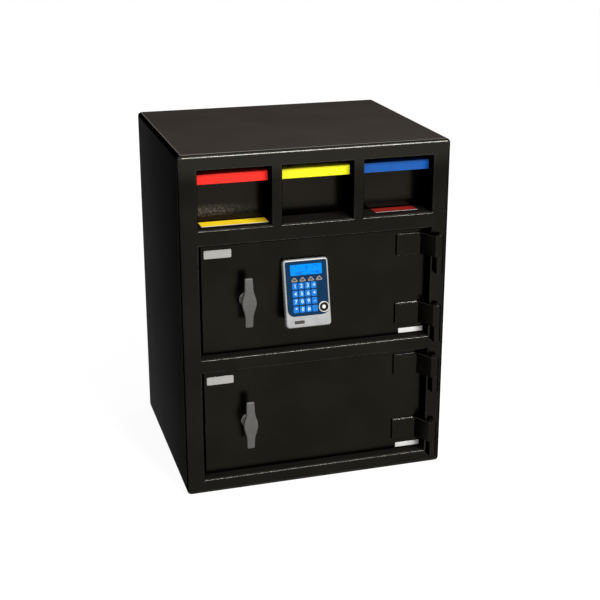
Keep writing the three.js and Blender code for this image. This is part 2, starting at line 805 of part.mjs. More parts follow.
// Keypad: housing with pockets, overlay, screen, keys and the round reader
const upperSpindle = spindlePlace(upperOpening);
const keypadPlace = { x: upperSpindle.x + keypadBesideSpindle, z: upperSpindle.z + keypadRise };
const keypadFront = doorSetback - keypadDepth;
const overlayFront = keypadFront - overlaySheet;
const keyFloor = keypadFront + keyBody + keyTravel + fitGap;
const keypadTop = keypadPlace.z + keypadHeight / 2;

// The keypad is laid out upright on the door; then its foot comes forward about its top back edge.
function leaning(solid) {
  const geometry = geometryFrom(solid);
  geometry.translate(0, -doorSetback, -keypadTop);
  geometry.rotateX(-keypadLean);
  geometry.translate(0, doorSetback, keypadTop);
  return solidFrom(geometry);
}

// The wedge between the door and the leaning housing, let a little way into the housing's back.
function keypadWedge() {
  const atBack = (down, inward) => {
    const y = doorSetback - down * Math.sin(keypadLean) - inward * Math.cos(keypadLean);
    return new THREE.Vector2(y, keypadTop - down * Math.cos(keypadLean) + inward * Math.sin(keypadLean));
  };
  const foot = keypadHeight - wedgeInset;
  const onDoor = (down) => new THREE.Vector2(doorSetback, atBack(down, 0).y);
  const outline = [atBack(wedgeInset, wedgeSink), atBack(foot, wedgeSink), onDoor(foot), onDoor(wedgeInset)];
  return prism("x", new THREE.Shape(outline), about(keypadPlace.x, keypadWidth - 2 * wedgeInset));
}

// The screen, the soft keys and the rows of keys follow one another down the housing.
const screenTop = keypadTop - screenInset;
const screenPlace = { x: keypadPlace.x, z: screenTop - screenHeight / 2 };
const softKeyTop = screenTop - screenHeight - softKeyBelowScreen;
const keysTop = softKeyTop - softKeyHeight - keysBelowSoftKeys;

const softKeyPlaces = Array.from({ length: keyColumns }, (_, i) => ({
  name: `soft_key_${i + 1}`,
  x: keypadPlace.x + (i - (keyColumns - 1) / 2) * (softKeyWidth + softKeyGap),
  z: softKeyTop - softKeyHeight / 2,
}));

const keyPlaces = [];
for (let row = 0; row < keyRows; row++) {
  for (let column = 0; column < keyColumns; column++) {
    keyPlaces.push({
      name: `key_${row + 1}_${column + 1}`,
      x: keypadPlace.x + keyBlockShift + (column - (keyColumns - 1) / 2) * (keyWidth + keyColumnGap),
      z: keysTop - keyHeight / 2 - row * (keyHeight + keyRowGap),
    });
  }
}

const keyOutline = (key, gap) =>
  roundedRect(about(key.x, keyWidth + 2 * gap), about(key.z, keyHeight + 2 * gap), keyCorner);

// A soft key is a low triangle with round corners.
function softKeyOutline(key, gap) {
  const radius = softKeyCorner + gap;
  const left = key.x - softKeyWidth / 2 + softKeyCorner;
  const right = key.x + softKeyWidth / 2 - softKeyCorner;
  const low = key.z - softKeyHeight / 2 + softKeyCorner;
  const high = key.z + softKeyHeight / 2 - softKeyCorner;
  const slope = Math.atan2(high - low, (right - left) / 2);
  const shape = new THREE.Shape();
  shape.absarc(right, low, radius, -Math.PI / 2, Math.PI / 2 - slope);
  shape.absarc(key.x, high, radius, Math.PI / 2 - slope, Math.PI / 2 + slope);
  shape.absarc(left, low, radius, Math.PI / 2 + slope, 1.5 * Math.PI);
  return shape;
}

const lastKey = keyPlaces[keyPlaces.length - 1];
const readerPlace = [
  lastKey.x + keyWidth / 2 + readerBesideKeys + readerRadius,
  lastKey.z + readerAboveLastRow,
];
const screenOutline = (gap) => {
  const xs = about(screenPlace.x, screenWidth + 2 * gap);
  return roundedRect(xs, about(screenPlace.z, screenHeight + 2 * gap), keyCorner);
};

function keypadHousing() {
  const height = about(keypadPlace.z, keypadHeight);
  const outline = roundedRect(about(keypadPlace.x, keypadWidth), height, keypadCorner);
  const depth = [keypadFront, doorSetback + keypadRound];
  const shell = softPrism("y", outline, depth, keypadRound, housingBevelSteps, arcSteps);
  const everywhere = [keypadPlace.x - keypadWidth, keypadPlace.x + keypadWidth];
  const wholeHeight = [keypadPlace.z - keypadHeight, keypadPlace.z + keypadHeight];
  const behind = block(everywhere, [doorSetback, doorSetback + 2 * keypadRound], wholeHeight);
  const pocketDepth = [keypadFront - overrun, keyFloor];
  const pocket = (outlineOf, key) => prism("y", outlineOf(key, fitGap), pocketDepth, keyArcSteps);
  const upright = cut(
    shell,
    behind,
    ...keyPlaces.map((key) => pocket(keyOutline, key)),
    ...softKeyPlaces.map((key) => pocket(softKeyOutline, key)),
    prism("y", screenOutline(fitGap), [keypadFront - overrun, keypadFront + screenSheet], keyArcSteps),
    rod("y", readerPlace, readerRadius + fitGap, [keypadFront - overrun, keypadFront + screenSheet]),
  );
  return joined(leaning(upright), keypadWedge());
}

function keypadOverlay() {
  const left = keypadPlace.x - keypadWidth / 2 + overlayMargin;
  const right = keypadPlace.x + keypadWidth / 2 - overlayMargin;
  const low = keypadPlace.z - keypadHeight / 2 + overlayChin;
  const high = keypadPlace.z + keypadHeight / 2 - overlayMargin;
  const shape = new THREE.Shape();
  shape.absarc(right - overlayCorner, low + overlayCorner, overlayCorner, -Math.PI / 2, 0);
  shape.absarc(right - keypadRound, high - keypadRound, keypadRound, 0, Math.PI / 2);
  shape.absarc(left + keypadRound, high - keypadRound, keypadRound, Math.PI / 2, Math.PI);
  shape.absarc(left + overlayCorner, low + overlayCorner, overlayCorner, Math.PI, 1.5 * Math.PI);
  const sheet = prism("y", shape, [overlayFront, keypadFront]);
  const through = [overlayFront - overrun, keypadFront + overrun];
  const window = (outline) => prism("y", outline, through, keyArcSteps);
  return cut(
    sheet,
    ...keyPlaces.map((key) => window(keyOutline(key, fitGap))),
    ...softKeyPlaces.map((key) => window(softKeyOutline(key, fitGap))),
    window(screenOutline(fitGap)),
    window(circle(readerPlace, readerRadius + fitGap)),
  );
}

// The reader is a raised ring round a groove, with a round contact in the middle.
function touchReader() {
  const seat = keypadFront + screenSheet;
  const ring = rod("y", readerPlace, readerRadius, [overlayFront - readerProud, seat]);
  const groove = rod("y", readerPlace, readerBore, [overlayFront - readerProud - overrun, keypadFront]);
  const core = rod("y", readerPlace, readerCoreRadius, [overlayFront - readerCoreProud, seat]);
  return joined(cut(ring, groove), core);
}

function addKeypad() {
  addPiece("keypad_housing", keypadHousing(), finishes.silver);
  addPiece("keypad_overlay", leaning(keypadOverlay()), finishes.navy);
  const screenDepth = [overlayFront, keypadFront + screenSheet];
  const screen = prism("y", screenOutline(0), screenDepth, keyArcSteps);
  addPiece("keypad_screen", leaning(screen), finishes.screen);
  const keyDepth = [overlayFront - keyProud, keypadFront + keyBody];
  const keySolid = (outline) => leaning(prism("y", outline, keyDepth, keyArcSteps));
  keyPlaces.forEach((key) => addPiece(key.name, keySolid(keyOutline(key, 0)), finishes.key));
  softKeyPlaces.forEach((key) => addPiece(key.name, keySolid(softKeyOutline(key, 0)), finishes.softKey));
  addPiece("touch_reader", leaning(touchReader()), finishes.reader);
  addPiece("lock_case_upper", lockCase(upperOpening), finishes.steel);
}

addBody();
addDepositSection();
addHoppers();
addDoor("upper", upperOpening, 1, upperPlateDrop);
addDoor("lower", lowerOpening, 3, lowerPlateDrop);
addKeypad();
part.position.y = -bodyDepth / 2;

export default part;
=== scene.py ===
import logging
import math
from abc import ABC, abstractmethod
from dataclasses import dataclass, field
from enum import Enum
from typing import Any, Iterable, Optional, Sequence

import bpy
import numpy as np
from mathutils import Matrix, Vector


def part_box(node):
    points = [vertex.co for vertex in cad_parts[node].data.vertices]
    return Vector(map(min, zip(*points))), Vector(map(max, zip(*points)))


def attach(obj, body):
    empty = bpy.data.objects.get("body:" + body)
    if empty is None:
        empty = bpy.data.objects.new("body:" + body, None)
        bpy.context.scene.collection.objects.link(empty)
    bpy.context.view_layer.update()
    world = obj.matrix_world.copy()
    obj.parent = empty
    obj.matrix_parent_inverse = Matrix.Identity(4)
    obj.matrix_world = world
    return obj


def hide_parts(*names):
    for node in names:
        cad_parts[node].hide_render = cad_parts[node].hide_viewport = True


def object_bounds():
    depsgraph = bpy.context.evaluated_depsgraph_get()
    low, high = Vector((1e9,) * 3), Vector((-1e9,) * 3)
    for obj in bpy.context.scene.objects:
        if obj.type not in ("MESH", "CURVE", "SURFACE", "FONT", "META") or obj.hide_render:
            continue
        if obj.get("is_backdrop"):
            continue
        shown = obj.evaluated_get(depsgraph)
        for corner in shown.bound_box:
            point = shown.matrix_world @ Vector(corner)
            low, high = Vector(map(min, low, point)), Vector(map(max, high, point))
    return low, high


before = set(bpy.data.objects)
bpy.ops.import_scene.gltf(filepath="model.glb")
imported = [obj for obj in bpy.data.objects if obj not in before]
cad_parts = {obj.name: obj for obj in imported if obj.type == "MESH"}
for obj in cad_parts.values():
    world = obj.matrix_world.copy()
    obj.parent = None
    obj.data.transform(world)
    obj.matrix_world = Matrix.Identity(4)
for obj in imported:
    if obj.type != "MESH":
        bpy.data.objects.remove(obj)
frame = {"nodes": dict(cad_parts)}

LOG = logging.getLogger("drop_safe")
MM = 0.001
Array = np.ndarray
Span = tuple[float, float]
Triple = tuple[float, float, float]
Colour = Triple


class Side(Enum):
    """The three deposit windows, from left to right."""

    LEFT = "left"
    MIDDLE = "middle"
    RIGHT = "right"


class Door(Enum):
    """The two doors, with the names that their nodes and bodies carry."""

    UPPER = "upper"
    LOWER = "lower"


class Cap(Enum):
    """How a run of rings is closed at an end."""

    FACE = "face"
    POLE = "pole"


# Surfaces


def rounded_polygon(corners: Array, radii: Array, steps: int) -> Array:
    """An outline whose corners are arcs.

    Each corner gives up r * tan(turn / 2) of both its edges, and the arc between is the first
    tangent point turned about the arc's middle by shares of the corner's own turn. Below, a and b
    are the unit directions into and out of each corner.

    Args:
        corners: The polygon, counter-clockwise, one corner a row.
        radii: The radius at each corner.
        steps: How many pieces each arc has.

    Returns:
        The outline's points, one a row.
    """
    before = corners - np.roll(corners, 1, axis=0)
    after = np.roll(corners, -1, axis=0) - corners
    a = before / np.linalg.norm(before, axis=1, keepdims=True)
    b = after / np.linalg.norm(after, axis=1, keepdims=True)
    turn = np.arctan2(a[:, 0] * b[:, 1] - a[:, 1] * b[:, 0], (a * b).sum(1))
    start = corners - a * (radii * np.tan(np.abs(turn) / 2))[:, None]
    left = np.stack([-a[:, 1], a[:, 0]], axis=1)
    middle = start + left * (np.sign(turn) * radii)[:, None]
    angle = turn[:, None] * np.linspace(0, 1, steps + 1)[None, :]
    arm = (start - middle)[:, None, :]
    c, s = np.cos(angle), np.sin(angle)
    arc = np.stack([arm[..., 0] * c - arm[..., 1] * s, arm[..., 0] * s + arm[..., 1] * c], axis=-1)
    return (middle[:, None, :] + arc).reshape(-1, 2)


def rounded_rectangle(
    low: Sequence[float], high: Sequence[float], radius: float | Array, steps: int = 6
) -> Array:
    """A rectangle between two corners, counter-clockwise, with one radius or one a corner."""
    corners = np.array([(low[0], low[1]), (high[0], low[1]), (high[0], high[1]), (low[0], high[1])])
    return rounded_polygon(corners, np.broadcast_to(radius, 4), steps)


def circle(middle: Sequence[float], radius: float, sides: int) -> Array:
    """A circle's points, counter-clockwise: the middle plus the radius times (cosine, sine)."""
    angle = np.arange(sides) * 2 * np.pi / sides
    return np.stack([middle[0] + radius * np.cos(angle), middle[1] + radius * np.sin(angle)], axis=1)


def inset(outline: Array, by: Array) -> Array:
    """An outline moved inwards along its own normals.

    The normal at a point is the chord between its neighbours, turned a quarter.

    Args:
        outline: Counter-clockwise points, one a row.
        by: One distance a ring.

    Returns:
        One ring a distance, each with the outline's count of points.
    """
    chord = np.roll(outline, -1, axis=0) - np.roll(outline, 1, axis=0)
    chord /= np.linalg.norm(chord, axis=1, keepdims=True)
    inwards = np.stack([-chord[:, 1], chord[:, 0]], axis=1)
    return outline[None] + inwards[None] * np.asarray(by, float)[:, None, None]


def round_over(radius: float, height: float, steps: int) -> Array:
    """A quarter round as (inset, height) rows: radius * (1 - cosine), height - radius * (1 - sine)."""
    angle = np.linspace(0, np.pi / 2, steps + 1)
    return np.stack([radius * (1 - np.cos(angle)), height - radius * (1 - np.sin(angle))], axis=1)


def facing_front(rings: Array, heights: Array, plane: float) -> Array:
    """Rings of (x, z) points stood in front of a plane across Y, each at its own height."""
    depth = np.broadcast_to(plane - np.asarray(heights, float)[:, None], rings.shape[:2])
    return np.stack([rings[..., 0], depth, rings[..., 1]], axis=-1)


def facing_up(rings: Array, heights: Array, plane: float) -> Array:
    """Rings of (x, y) points stood above a level plane, each at its own height."""
    rise = np.broadcast_to(plane + np.asarray(heights, float)[:, None], rings.shape[:2])
    return np.stack([rings[..., 0], rings[..., 1], rise], axis=-1)


def ring_quads(count: int, sides: int) -> Array:
    """The faces between neighbouring rings, as rows of four point numbers.

    Ring i's corner j is point i * sides + j. A face joins corners j and j + 1 of rings i and
    i + 1, the count running round.

    Args:
        count: How many rings there are.
        sides: How many corners each has.

    Returns:
        One face a row.
    """
    row, column = np.meshgrid(np.arange(count - 1), np.arange(sides), indexing="ij")
    here, ahead, beside = row * sides, (row + 1) * sides, (column + 1) % sides
    quads = np.stack([here + column, here + beside, ahead + beside, ahead + column], axis=-1)
    return quads.reshape(-1, 4)


def grid_object(
    name: str, rings: Array, ends: tuple[Cap, Cap] = (Cap.FACE, Cap.FACE), smooth: float = 40
) -> Any:
    """A closed surface through rings of points that run round.

    Each end is one flat face, or a fan to the ring's mean point. A face's area vector is half the
    cross product of its diagonals. Where the sum of these, each times the face's place off the
    mean of all points, is negative, the surface is turned, so that its faces point outwards.

    Args:
        name: The object's name.
        rings: Rings by corners by three, in metres.
        ends: How the first and the last ring are closed.
        smooth: Edges that turn by more degrees than this stay sharp.

    Returns:
        The new object, linked to the scene.
    """
    count, sides = rings.shape[:2]
    quads = ring_quads(count, sides)
    points, faces = rings.reshape(-1, 3), quads.tolist()
    first, last = np.arange(sides), (count - 1) * sides + np.arange(sides)
    for cap, ring in ((ends[0], first[::-1]), (ends[1], last)):
        if cap is Cap.FACE:
            faces.append(ring.tolist())
            continue
        points = np.vstack([points, points[ring].mean(0)])
        fan = np.stack([ring, np.roll(ring, -1), np.full(sides, len(points) - 1)], axis=1)
        faces += fan.tolist()
    corner = points[quads]
    area = np.cross(corner[:, 2] - corner[:, 0], corner[:, 3] - corner[:, 1])
    outwards = (area * (corner.mean(1) - points.mean(0))).sum()
    mesh = bpy.data.meshes.new(name)
    mesh.from_pydata(points.tolist(), [], faces)
    if outwards < 0:
        mesh.flip_normals()
    return finished(name, mesh, smooth)


def finished(name: str, mesh: bpy.types.Mesh, smooth: float) -> Any:
    """Shades a mesh by angle and puts it in the scene as an object.

    Args:
        name: The object's name.
        mesh: Its mesh.
        smooth: Edges that turn by more degrees than this stay sharp.

    Returns:
        The new object, linked to the scene.
    """
    mesh.validate()
    mesh.polygons.foreach_set("use_smooth", np.ones(len(mesh.polygons), bool))
    mesh.set_sharp_from_angle(angle=math.radians(smooth))
    made = bpy.data.objects.new(name, mesh)
    bpy.context.scene.collection.objects.link(made)
    return made


def raised_plate(
    name: str, outline: Array, plane: float, thickness: float, edge: float, crown: float = 0.0, steps: int = 4
) -> Any:
    """A plate that stands in front of a plane across Y, with a rounded front edge and a crowned face.

    The wall rises straight, turns over through a quarter round, and the face follows
    thickness + crown * (1 - share squared), the share running from the rim to the middle.

    Args:
        name: The object's name.
        outline: Counter-clockwise (x, z) points.
        plane: The plane's y.
        thickness: The height at the end of the round.
        edge: The radius of the front edge.
        crown: How far the middle is above the rim; negative for a dish.
        steps: Pieces in the quarter round.

    Returns:
        The plate's object.
    """
    wall = np.vstack([(0, 0), round_over(edge, thickness, steps)])
    sides = inset(outline, wall[:, 0])
    share = np.array([0.8, 0.55, 0.3, 0.1])
    middle = outline.mean(0)
    face = middle + (sides[-1] - middle)[None] * share[:, None, None]
    heights = np.concatenate([wall[:, 1], thickness + crown * (1 - share**2)])
    rings = facing_front(np.concatenate([sides, face]), heights, plane)
    return grid_object(name, rings, (Cap.FACE, Cap.POLE))


def swept(name: str, profile: Array, start: float, end: float, soft: float) -> Any:
    """A closed (y, z) profile carried along X.

    Ring i is the profile at one station, drawn in along its own normals by a quarter round of the
    soft radius towards both ends.

    Args:
        name: The object's name.
        profile: Counter-clockwise (y, z) points.
        start: The x of the first end.
        end: The x of the last end.
        soft: The radius of both ends' edges.

    Returns:
        The swept object.
    """
    turn = np.linspace(0, np.pi / 2, 4)
    first, drawn = start + soft * (1 - np.cos(turn)), soft * (1 - np.sin(turn))
    rings = inset(profile, np.concatenate([drawn, drawn[::-1]]))
    stations = np.concatenate([first, (start + end - first)[::-1]])
    along = np.broadcast_to(stations[:, None], rings.shape[:2])
    return grid_object(name, np.stack([along, rings[..., 0], rings[..., 1]], axis=-1))


def turned(name: str, middle: Sequence[float], profile: Sequence[Sequence[float]], sides: int = 48) -> Any:
    """A turned piece: each (radius, y) of a profile carried round an axis along Y.

    Args:
        name: The object's name.
        middle: The axis's x and z.
        profile: (radius, y) rows, from the foot to the middle of the front.
        sides: Pieces in a turn.

    Returns:
        The turned object.
    """
    radius, along = np.array(profile, float).T
    rings = middle + circle((0, 0), 1, sides)[None] * radius[:, None, None]
    # A height in front of the plane y = 0 is y with its sign changed
    return grid_object(name, facing_front(rings, -along, 0.0), (Cap.FACE, Cap.POLE))


def polar(outline: Array, middle: Array, angles: Array) -> Array:
    """How far an outline lies from a point inside it, in each of many directions.

    Each direction meets the edge whose ends lie on either side of it, at
    cross(P, Q) / cross(direction, Q - P), P and Q being that edge's ends.

    Args:
        outline: Points round the middle, one a row.
        middle: The point inside.
        angles: The directions.

    Returns:
        One distance a direction.
    """
    arm = outline - middle
    arm = arm[np.argsort(np.arctan2(arm[:, 1], arm[:, 0]))]
    bearing = np.arctan2(arm[:, 1], arm[:, 0])
    at = np.searchsorted(bearing, angles, side="right") % len(arm)
    p, q = arm[at - 1], arm[at]
    u = np.stack([np.cos(angles), np.sin(angles)], axis=1)
    across = p[:, 0] * q[:, 1] - p[:, 1] * q[:, 0]
    return across / (u[:, 0] * (q - p)[:, 1] - u[:, 1] * (q - p)[:, 0])


# Materials

FLOAT, VECTOR = "NodeSocketFloat", "NodeSocketVector"
FINE_REACH = 0.6 * MM  # how far metal and plastic are worn back from an edge, the plastics' edges painted lighter as a highlight too


class Graph:
    """A node tree under construction, with short ways to add and join nodes."""

    def __init__(self, tree: bpy.types.NodeTree) -> None:
        """Starts on a tree."""
        self.tree = tree

    def join(self, node: Any, **inputs: Any) -> None:
        """Joins outputs to a node's sockets, or sets the sockets' own values.

        Args:
            node: The node.
            **inputs: An output, number, vector or colour for a socket, named with _ for a space, or
                in0, in1 by its place.
        """
        for key, value in inputs.items():
            place = int(key[2:]) if key[:2] == "in" and key[2:].isdigit() else key.replace("_", " ")
            socket = node.inputs[place]
            if isinstance(value, bpy.types.NodeSocket):
                self.tree.links.new(value, socket)
            else:
                socket.default_value = (*value, 1) if socket.type == "RGBA" else value

    def add(self, kind: str, settings: Optional[dict[str, Any]] = None, **inputs: Any) -> Any:
        """Adds a node.

        Args:
            kind: The node's type.
            settings: Its own properties.
            **inputs: What its sockets get, as in join.

        Returns:
            The node.
        """
        node = self.tree.nodes.new(kind)
        for key, value in (settings or {}).items():
            setattr(node, key, value)
        self.join(node, **inputs)
        return node

    def math(self, operation: str, a: Any, b: Any = 0.0, clamp: bool = False) -> Any:
        """One Math node's output."""
        settings = {"operation": operation, "use_clamp": clamp}
        return self.add("ShaderNodeMath", settings, in0=a, in1=b).outputs[0]

    def times(self, a: Any, b: Any, clamp: bool = False) -> Any:
        """One number times another."""
        return self.math("MULTIPLY", a, b, clamp)

    def line(self, value: Any, slope: float, start: float) -> Any:
        """A straight line: the value times the slope, plus the start."""
        return self.math("ADD", self.times(value, slope), start)

    def mix(self, share: Any, a: Any, b: Any) -> Any:
        """A colour between two others, by a share."""
        return self.add("ShaderNodeMix", {"data_type": "RGBA"}, in0=share, in6=a, in7=b).outputs[2]

    def between(self, value: Any, low: float, high: float, start: float = 0.0, end: float = 1.0) -> Any:
        """A value carried from one span to another, smoothly and held at the ends.

        Args:
            value: The value.
            low: Where the span that it comes from starts.
            high: Where that span ends.
            start: What comes out at low.
            end: What comes out at high.

        Returns:
            The output.
        """
        settings = {"interpolation_type": "SMOOTHSTEP"}
        span = {"From_Min": low, "From_Max": high, "To_Min": start, "To_Max": end}
        return self.add("ShaderNodeMapRange", settings, Value=value, **span).outputs[0]

    def noise(self, where: Any, scale: Any, detail: float, roughness: float = 0.5) -> Any:
        """A noise texture's value, from 0 to 1."""
        inputs = {"Scale": scale, "Detail": detail, "Roughness": roughness}
        return self.add("ShaderNodeTexNoise", Vector=where, **inputs).outputs[0]

    def own(self, kind: str = "Object") -> Any:
        """The piece's own coordinates, or its own normal."""
        return self.add("ShaderNodeTexCoord").outputs[kind]

    def stretched(self, scale: Triple) -> Any:
        """The piece's own coordinates, stretched."""
        return self.add("ShaderNodeMapping", Vector=self.own(), Scale=scale).outputs[0]

    def along(self, vector: Any, axis: str) -> Any:
        """A vector's part along X, Y or Z."""
        return self.add("ShaderNodeSeparateXYZ", in0=vector).outputs[axis]

    def effect(self, group: bpy.types.NodeTree, **inputs: Any) -> Any:
        """The outputs of a shared group, placed here with its own values."""
        return self.add("ShaderNodeGroup", {"node_tree": group}, **inputs).outputs

    def bump(self, depth: float, height: Any, **inputs: Any) -> Any:
        """The normal of a surface whose bumps rise by a depth in metres."""
        return self.add("ShaderNodeBump", Distance=depth, Height=height, **inputs).outputs[0]

    def seen(self) -> Any:
        """1 for rays from the camera and by way of gloss or glass, and 0 for the light on the object.

        Returns:
            The output.
        """
        rays = self.add("ShaderNodeLightPath").outputs
        mirrored = self.math("ADD", rays["Is Glossy Ray"], rays["Is Transmission Ray"])
        return self.math("ADD", rays["Is Camera Ray"], mirrored, True)


def emptied(owner: Any) -> Graph:
    """A graph on the node tree of a material or world, with nothing in it.

    Args:
        owner: The material or world.

    Returns:
        The graph.
    """
    owner.use_nodes = True
    owner.node_tree.nodes.clear()
    return Graph(owner.node_tree)


def new_group(name: str, inputs: dict[str, Any], outputs: dict[str, str]) -> tuple[Graph, Any]:
    """An empty shader group with named sockets.

    Args:
        name: The group's name.
        inputs: The default of each input, a number or a vector.
        outputs: The socket type of each output.

    Returns:
        A graph on the group, and what the group is sent.
    """
    tree = bpy.data.node_groups.new(name, "ShaderNodeTree")
    for label, value in inputs.items():
        kind = VECTOR if isinstance(value, tuple) else FLOAT
        tree.interface.new_socket(label, in_out="INPUT", socket_type=kind).default_value = value
    for label, kind in outputs.items():
        tree.interface.new_socket(label, in_out="OUTPUT", socket_type=kind)
    g = Graph(tree)
    return g, g.add("NodeGroupInput").outputs


def powder_grain_group() -> bpy.types.NodeTree:
    """Orange peel: a fine pebble and a slower swell, and a cloudy drift of the film's gloss.

    Returns:
        The group.
    """
    inputs = {"Pebble": 700.0, "Swell": 0.5, "Drift": 9.0}
    g, sent = new_group("powder_grain", inputs, {"Height": FLOAT, "Drift": FLOAT, "Speck": FLOAT})
    where = g.own()
    swell = g.noise(where, g.times(sent["Pebble"], 0.14), 1.0)
    height = g.math("ADD", g.noise(where, sent["Pebble"], 1.5), g.times(swell, sent["Swell"]))
    drift = g.between(g.noise(where, sent["Drift"], 4.0), 0.3, 0.7)
    dots = g.add("ShaderNodeTexVoronoi", {"feature": "F1"}, Vector=where, Scale=420.0).outputs["Distance"]
    g.add("NodeGroupOutput", Height=height, Drift=drift, Speck=g.between(dots, 0.05, 0.16, 1.0, 0.0))
    return g.tree


def worn_edge_group() -> bpy.types.NodeTree:
    """Edges, and the masks of the painted highlights on bends and crests, broken up by noise.

    An edge is where the rounded normal leaves the true one. A bend is where the surface itself tilts up or
    down, and carries a painted highlight; a crest is where a bend runs out into a face that looks up, and
    carries a thin painted highlight.

    Returns:
        The group.
    """
    outputs = {"Wear": FLOAT, "Bend": FLOAT, "Crest": FLOAT, "Normal": VECTOR}
    g, sent = new_group("worn_edge", {"Reach": 0.0015, "Break": 90.0}, outputs)
    soft = g.add("ShaderNodeBevel", {"samples": 6}, Radius=sent["Reach"]).outputs[0]
    true = g.add("ShaderNodeNewGeometry").outputs["True Normal"]
    dot = g.add("ShaderNodeVectorMath", {"operation": "DOT_PRODUCT"}, in0=soft, in1=true).outputs["Value"]
    broken = g.between(g.noise(g.own(), sent["Break"], 3.0), 0.35, 0.62)
    wear = g.times(g.between(dot, 0.999, 0.86), broken)
    tilt = g.along(g.own("Normal"), "Z")
    steep = g.times(g.between(g.math("ABSOLUTE", tilt), 0.1, 0.3), g.between(tilt, 0.55, 0.75, 1.0, 0.0))
    # painted highlight: the film is made lighter on bends that tilt up or down
    bend = g.times(steep, g.line(broken, 0.7, 0.3))
    # thin painted highlight where a bend runs out into a face that looks up
    crest = g.times(g.between(tilt, 0.94, 0.975), g.between(tilt, 0.985, 0.998, 1.0, 0.0))
    g.add("NodeGroupOutput", Wear=wear, Bend=bend, Crest=crest, Normal=soft)
    return g.tree


def brushed_group() -> bpy.types.NodeTree:
    """Fine lines along one axis: noise that is long along the lines and short across them.

    Returns:
        The group.
    """
    inputs = {"Stretch": (1.0, 1.0, 1.0), "Blotch": 60.0}
    g, sent = new_group("brushed_lines", inputs, {"Lines": FLOAT, "Blotch": FLOAT})
    where = g.own()
    long = g.add("ShaderNodeVectorMath", {"operation": "MULTIPLY"}, in0=where, in1=sent["Stretch"]).outputs[0]
    blotch = g.between(g.noise(where, sent["Blotch"], 3.0), 0.32, 0.68)
    g.add("NodeGroupOutput", Lines=g.noise(long, 1.0, 5.0, 0.65), Blotch=blotch)
    return g.tree


def painted_reflection_group() -> bpy.types.NodeTree:
    """A painted reflection between two heights: fine glints that thin out upwards and past a distance along
    X.

    Returns:
        The group.
    """
    g, sent = new_group("painted_reflection_band", {"Low": 0.0, "High": 1.0, "End": 0.0}, {"Rub": FLOAT})
    where = g.own()
    height = g.math("SUBTRACT", g.along(where, "Z"), sent["Low"])
    rise = g.math("DIVIDE", height, g.math("SUBTRACT", sent["High"], sent["Low"]))
    # painted reflection: a band of glints, strongest near its foot
    band = g.times(g.between(rise, 0.0, 0.12), g.between(rise, 0.3, 1.0, 1.0, 0.0))
    near = g.between(g.math("SUBTRACT", g.along(where, "X"), sent["End"]), -0.07, 0.0, 1.0, 0.15)
    glints = g.line(g.between(g.noise(where, 330.0, 3.0, 0.65), 0.47, 0.6), 0.85, 0.15)
    g.add("NodeGroupOutput", Rub=g.times(g.times(band, near), glints, True))
    return g.tree


def settled_dust_group() -> bpy.types.NodeTree:
    """Dust: faces that look up, less of it under a height, thinned by slow and fine noise.

    Returns:
        The group.
    """
    g, sent = new_group("settled_dust", {"Amount": 0.1, "Above": 0.0}, {"Dust": FLOAT})
    where = g.own()
    level = g.between(g.along(g.own("Normal"), "Z"), 0.93, 0.995)
    high = g.math("GREATER_THAN", g.along(where, "Z"), sent["Above"])
    lying = g.times(level, g.line(high, 0.55, 0.45))
    uneven = g.math("ADD", g.noise(where, 7.0, 5.0), g.noise(where, 900.0, 2.0))
    dust = g.times(g.times(lying, g.line(uneven, 0.3, 0.7)), sent["Amount"], True)
    g.add("NodeGroupOutput", Dust=dust)
    return g.tree


class Effects:
    """The shared shader groups, each built once."""

    def __init__(self) -> None:
        """Builds the groups."""
        self.grain = powder_grain_group()
        self.edge = worn_edge_group()
        self.brushed = brushed_group()
        self.dust = settled_dust_group()
        # the group of the painted reflection on the left hopper
        self.rub = painted_reflection_group()


def scaled(colour: Colour, by: float) -> Colour:
    """A colour made lighter or darker, held under 1."""
    return tuple(min(1.0, c * by) for c in colour)


@dataclass(frozen=True)
class Finish(ABC):
    """A finish: one material around a Principled shader.

    Attributes:
        name: The material's name.
    """

    name: str

    @abstractmethod
    def looks(self, g: Graph, effects: Effects) -> dict[str, Any]:
        """Draws the finish in nodes.

        Args:
            g: The material's graph.
            effects: The shared groups.

        Returns:
            What each of the shader's sockets gets, with _ for a space.
        """

    def build(self, effects: Effects) -> bpy.types.Material:
        """Makes the material.

        Args:
            effects: The shared groups.

        Returns:
            The material.
        """
        made = bpy.data.materials.new(self.name)
        g = emptied(made)
        shader = g.add("ShaderNodeBsdfPrincipled")
        g.add("ShaderNodeOutputMaterial", Surface=shader.outputs[0])
        g.join(shader, **self.looks(g, effects))
        return made


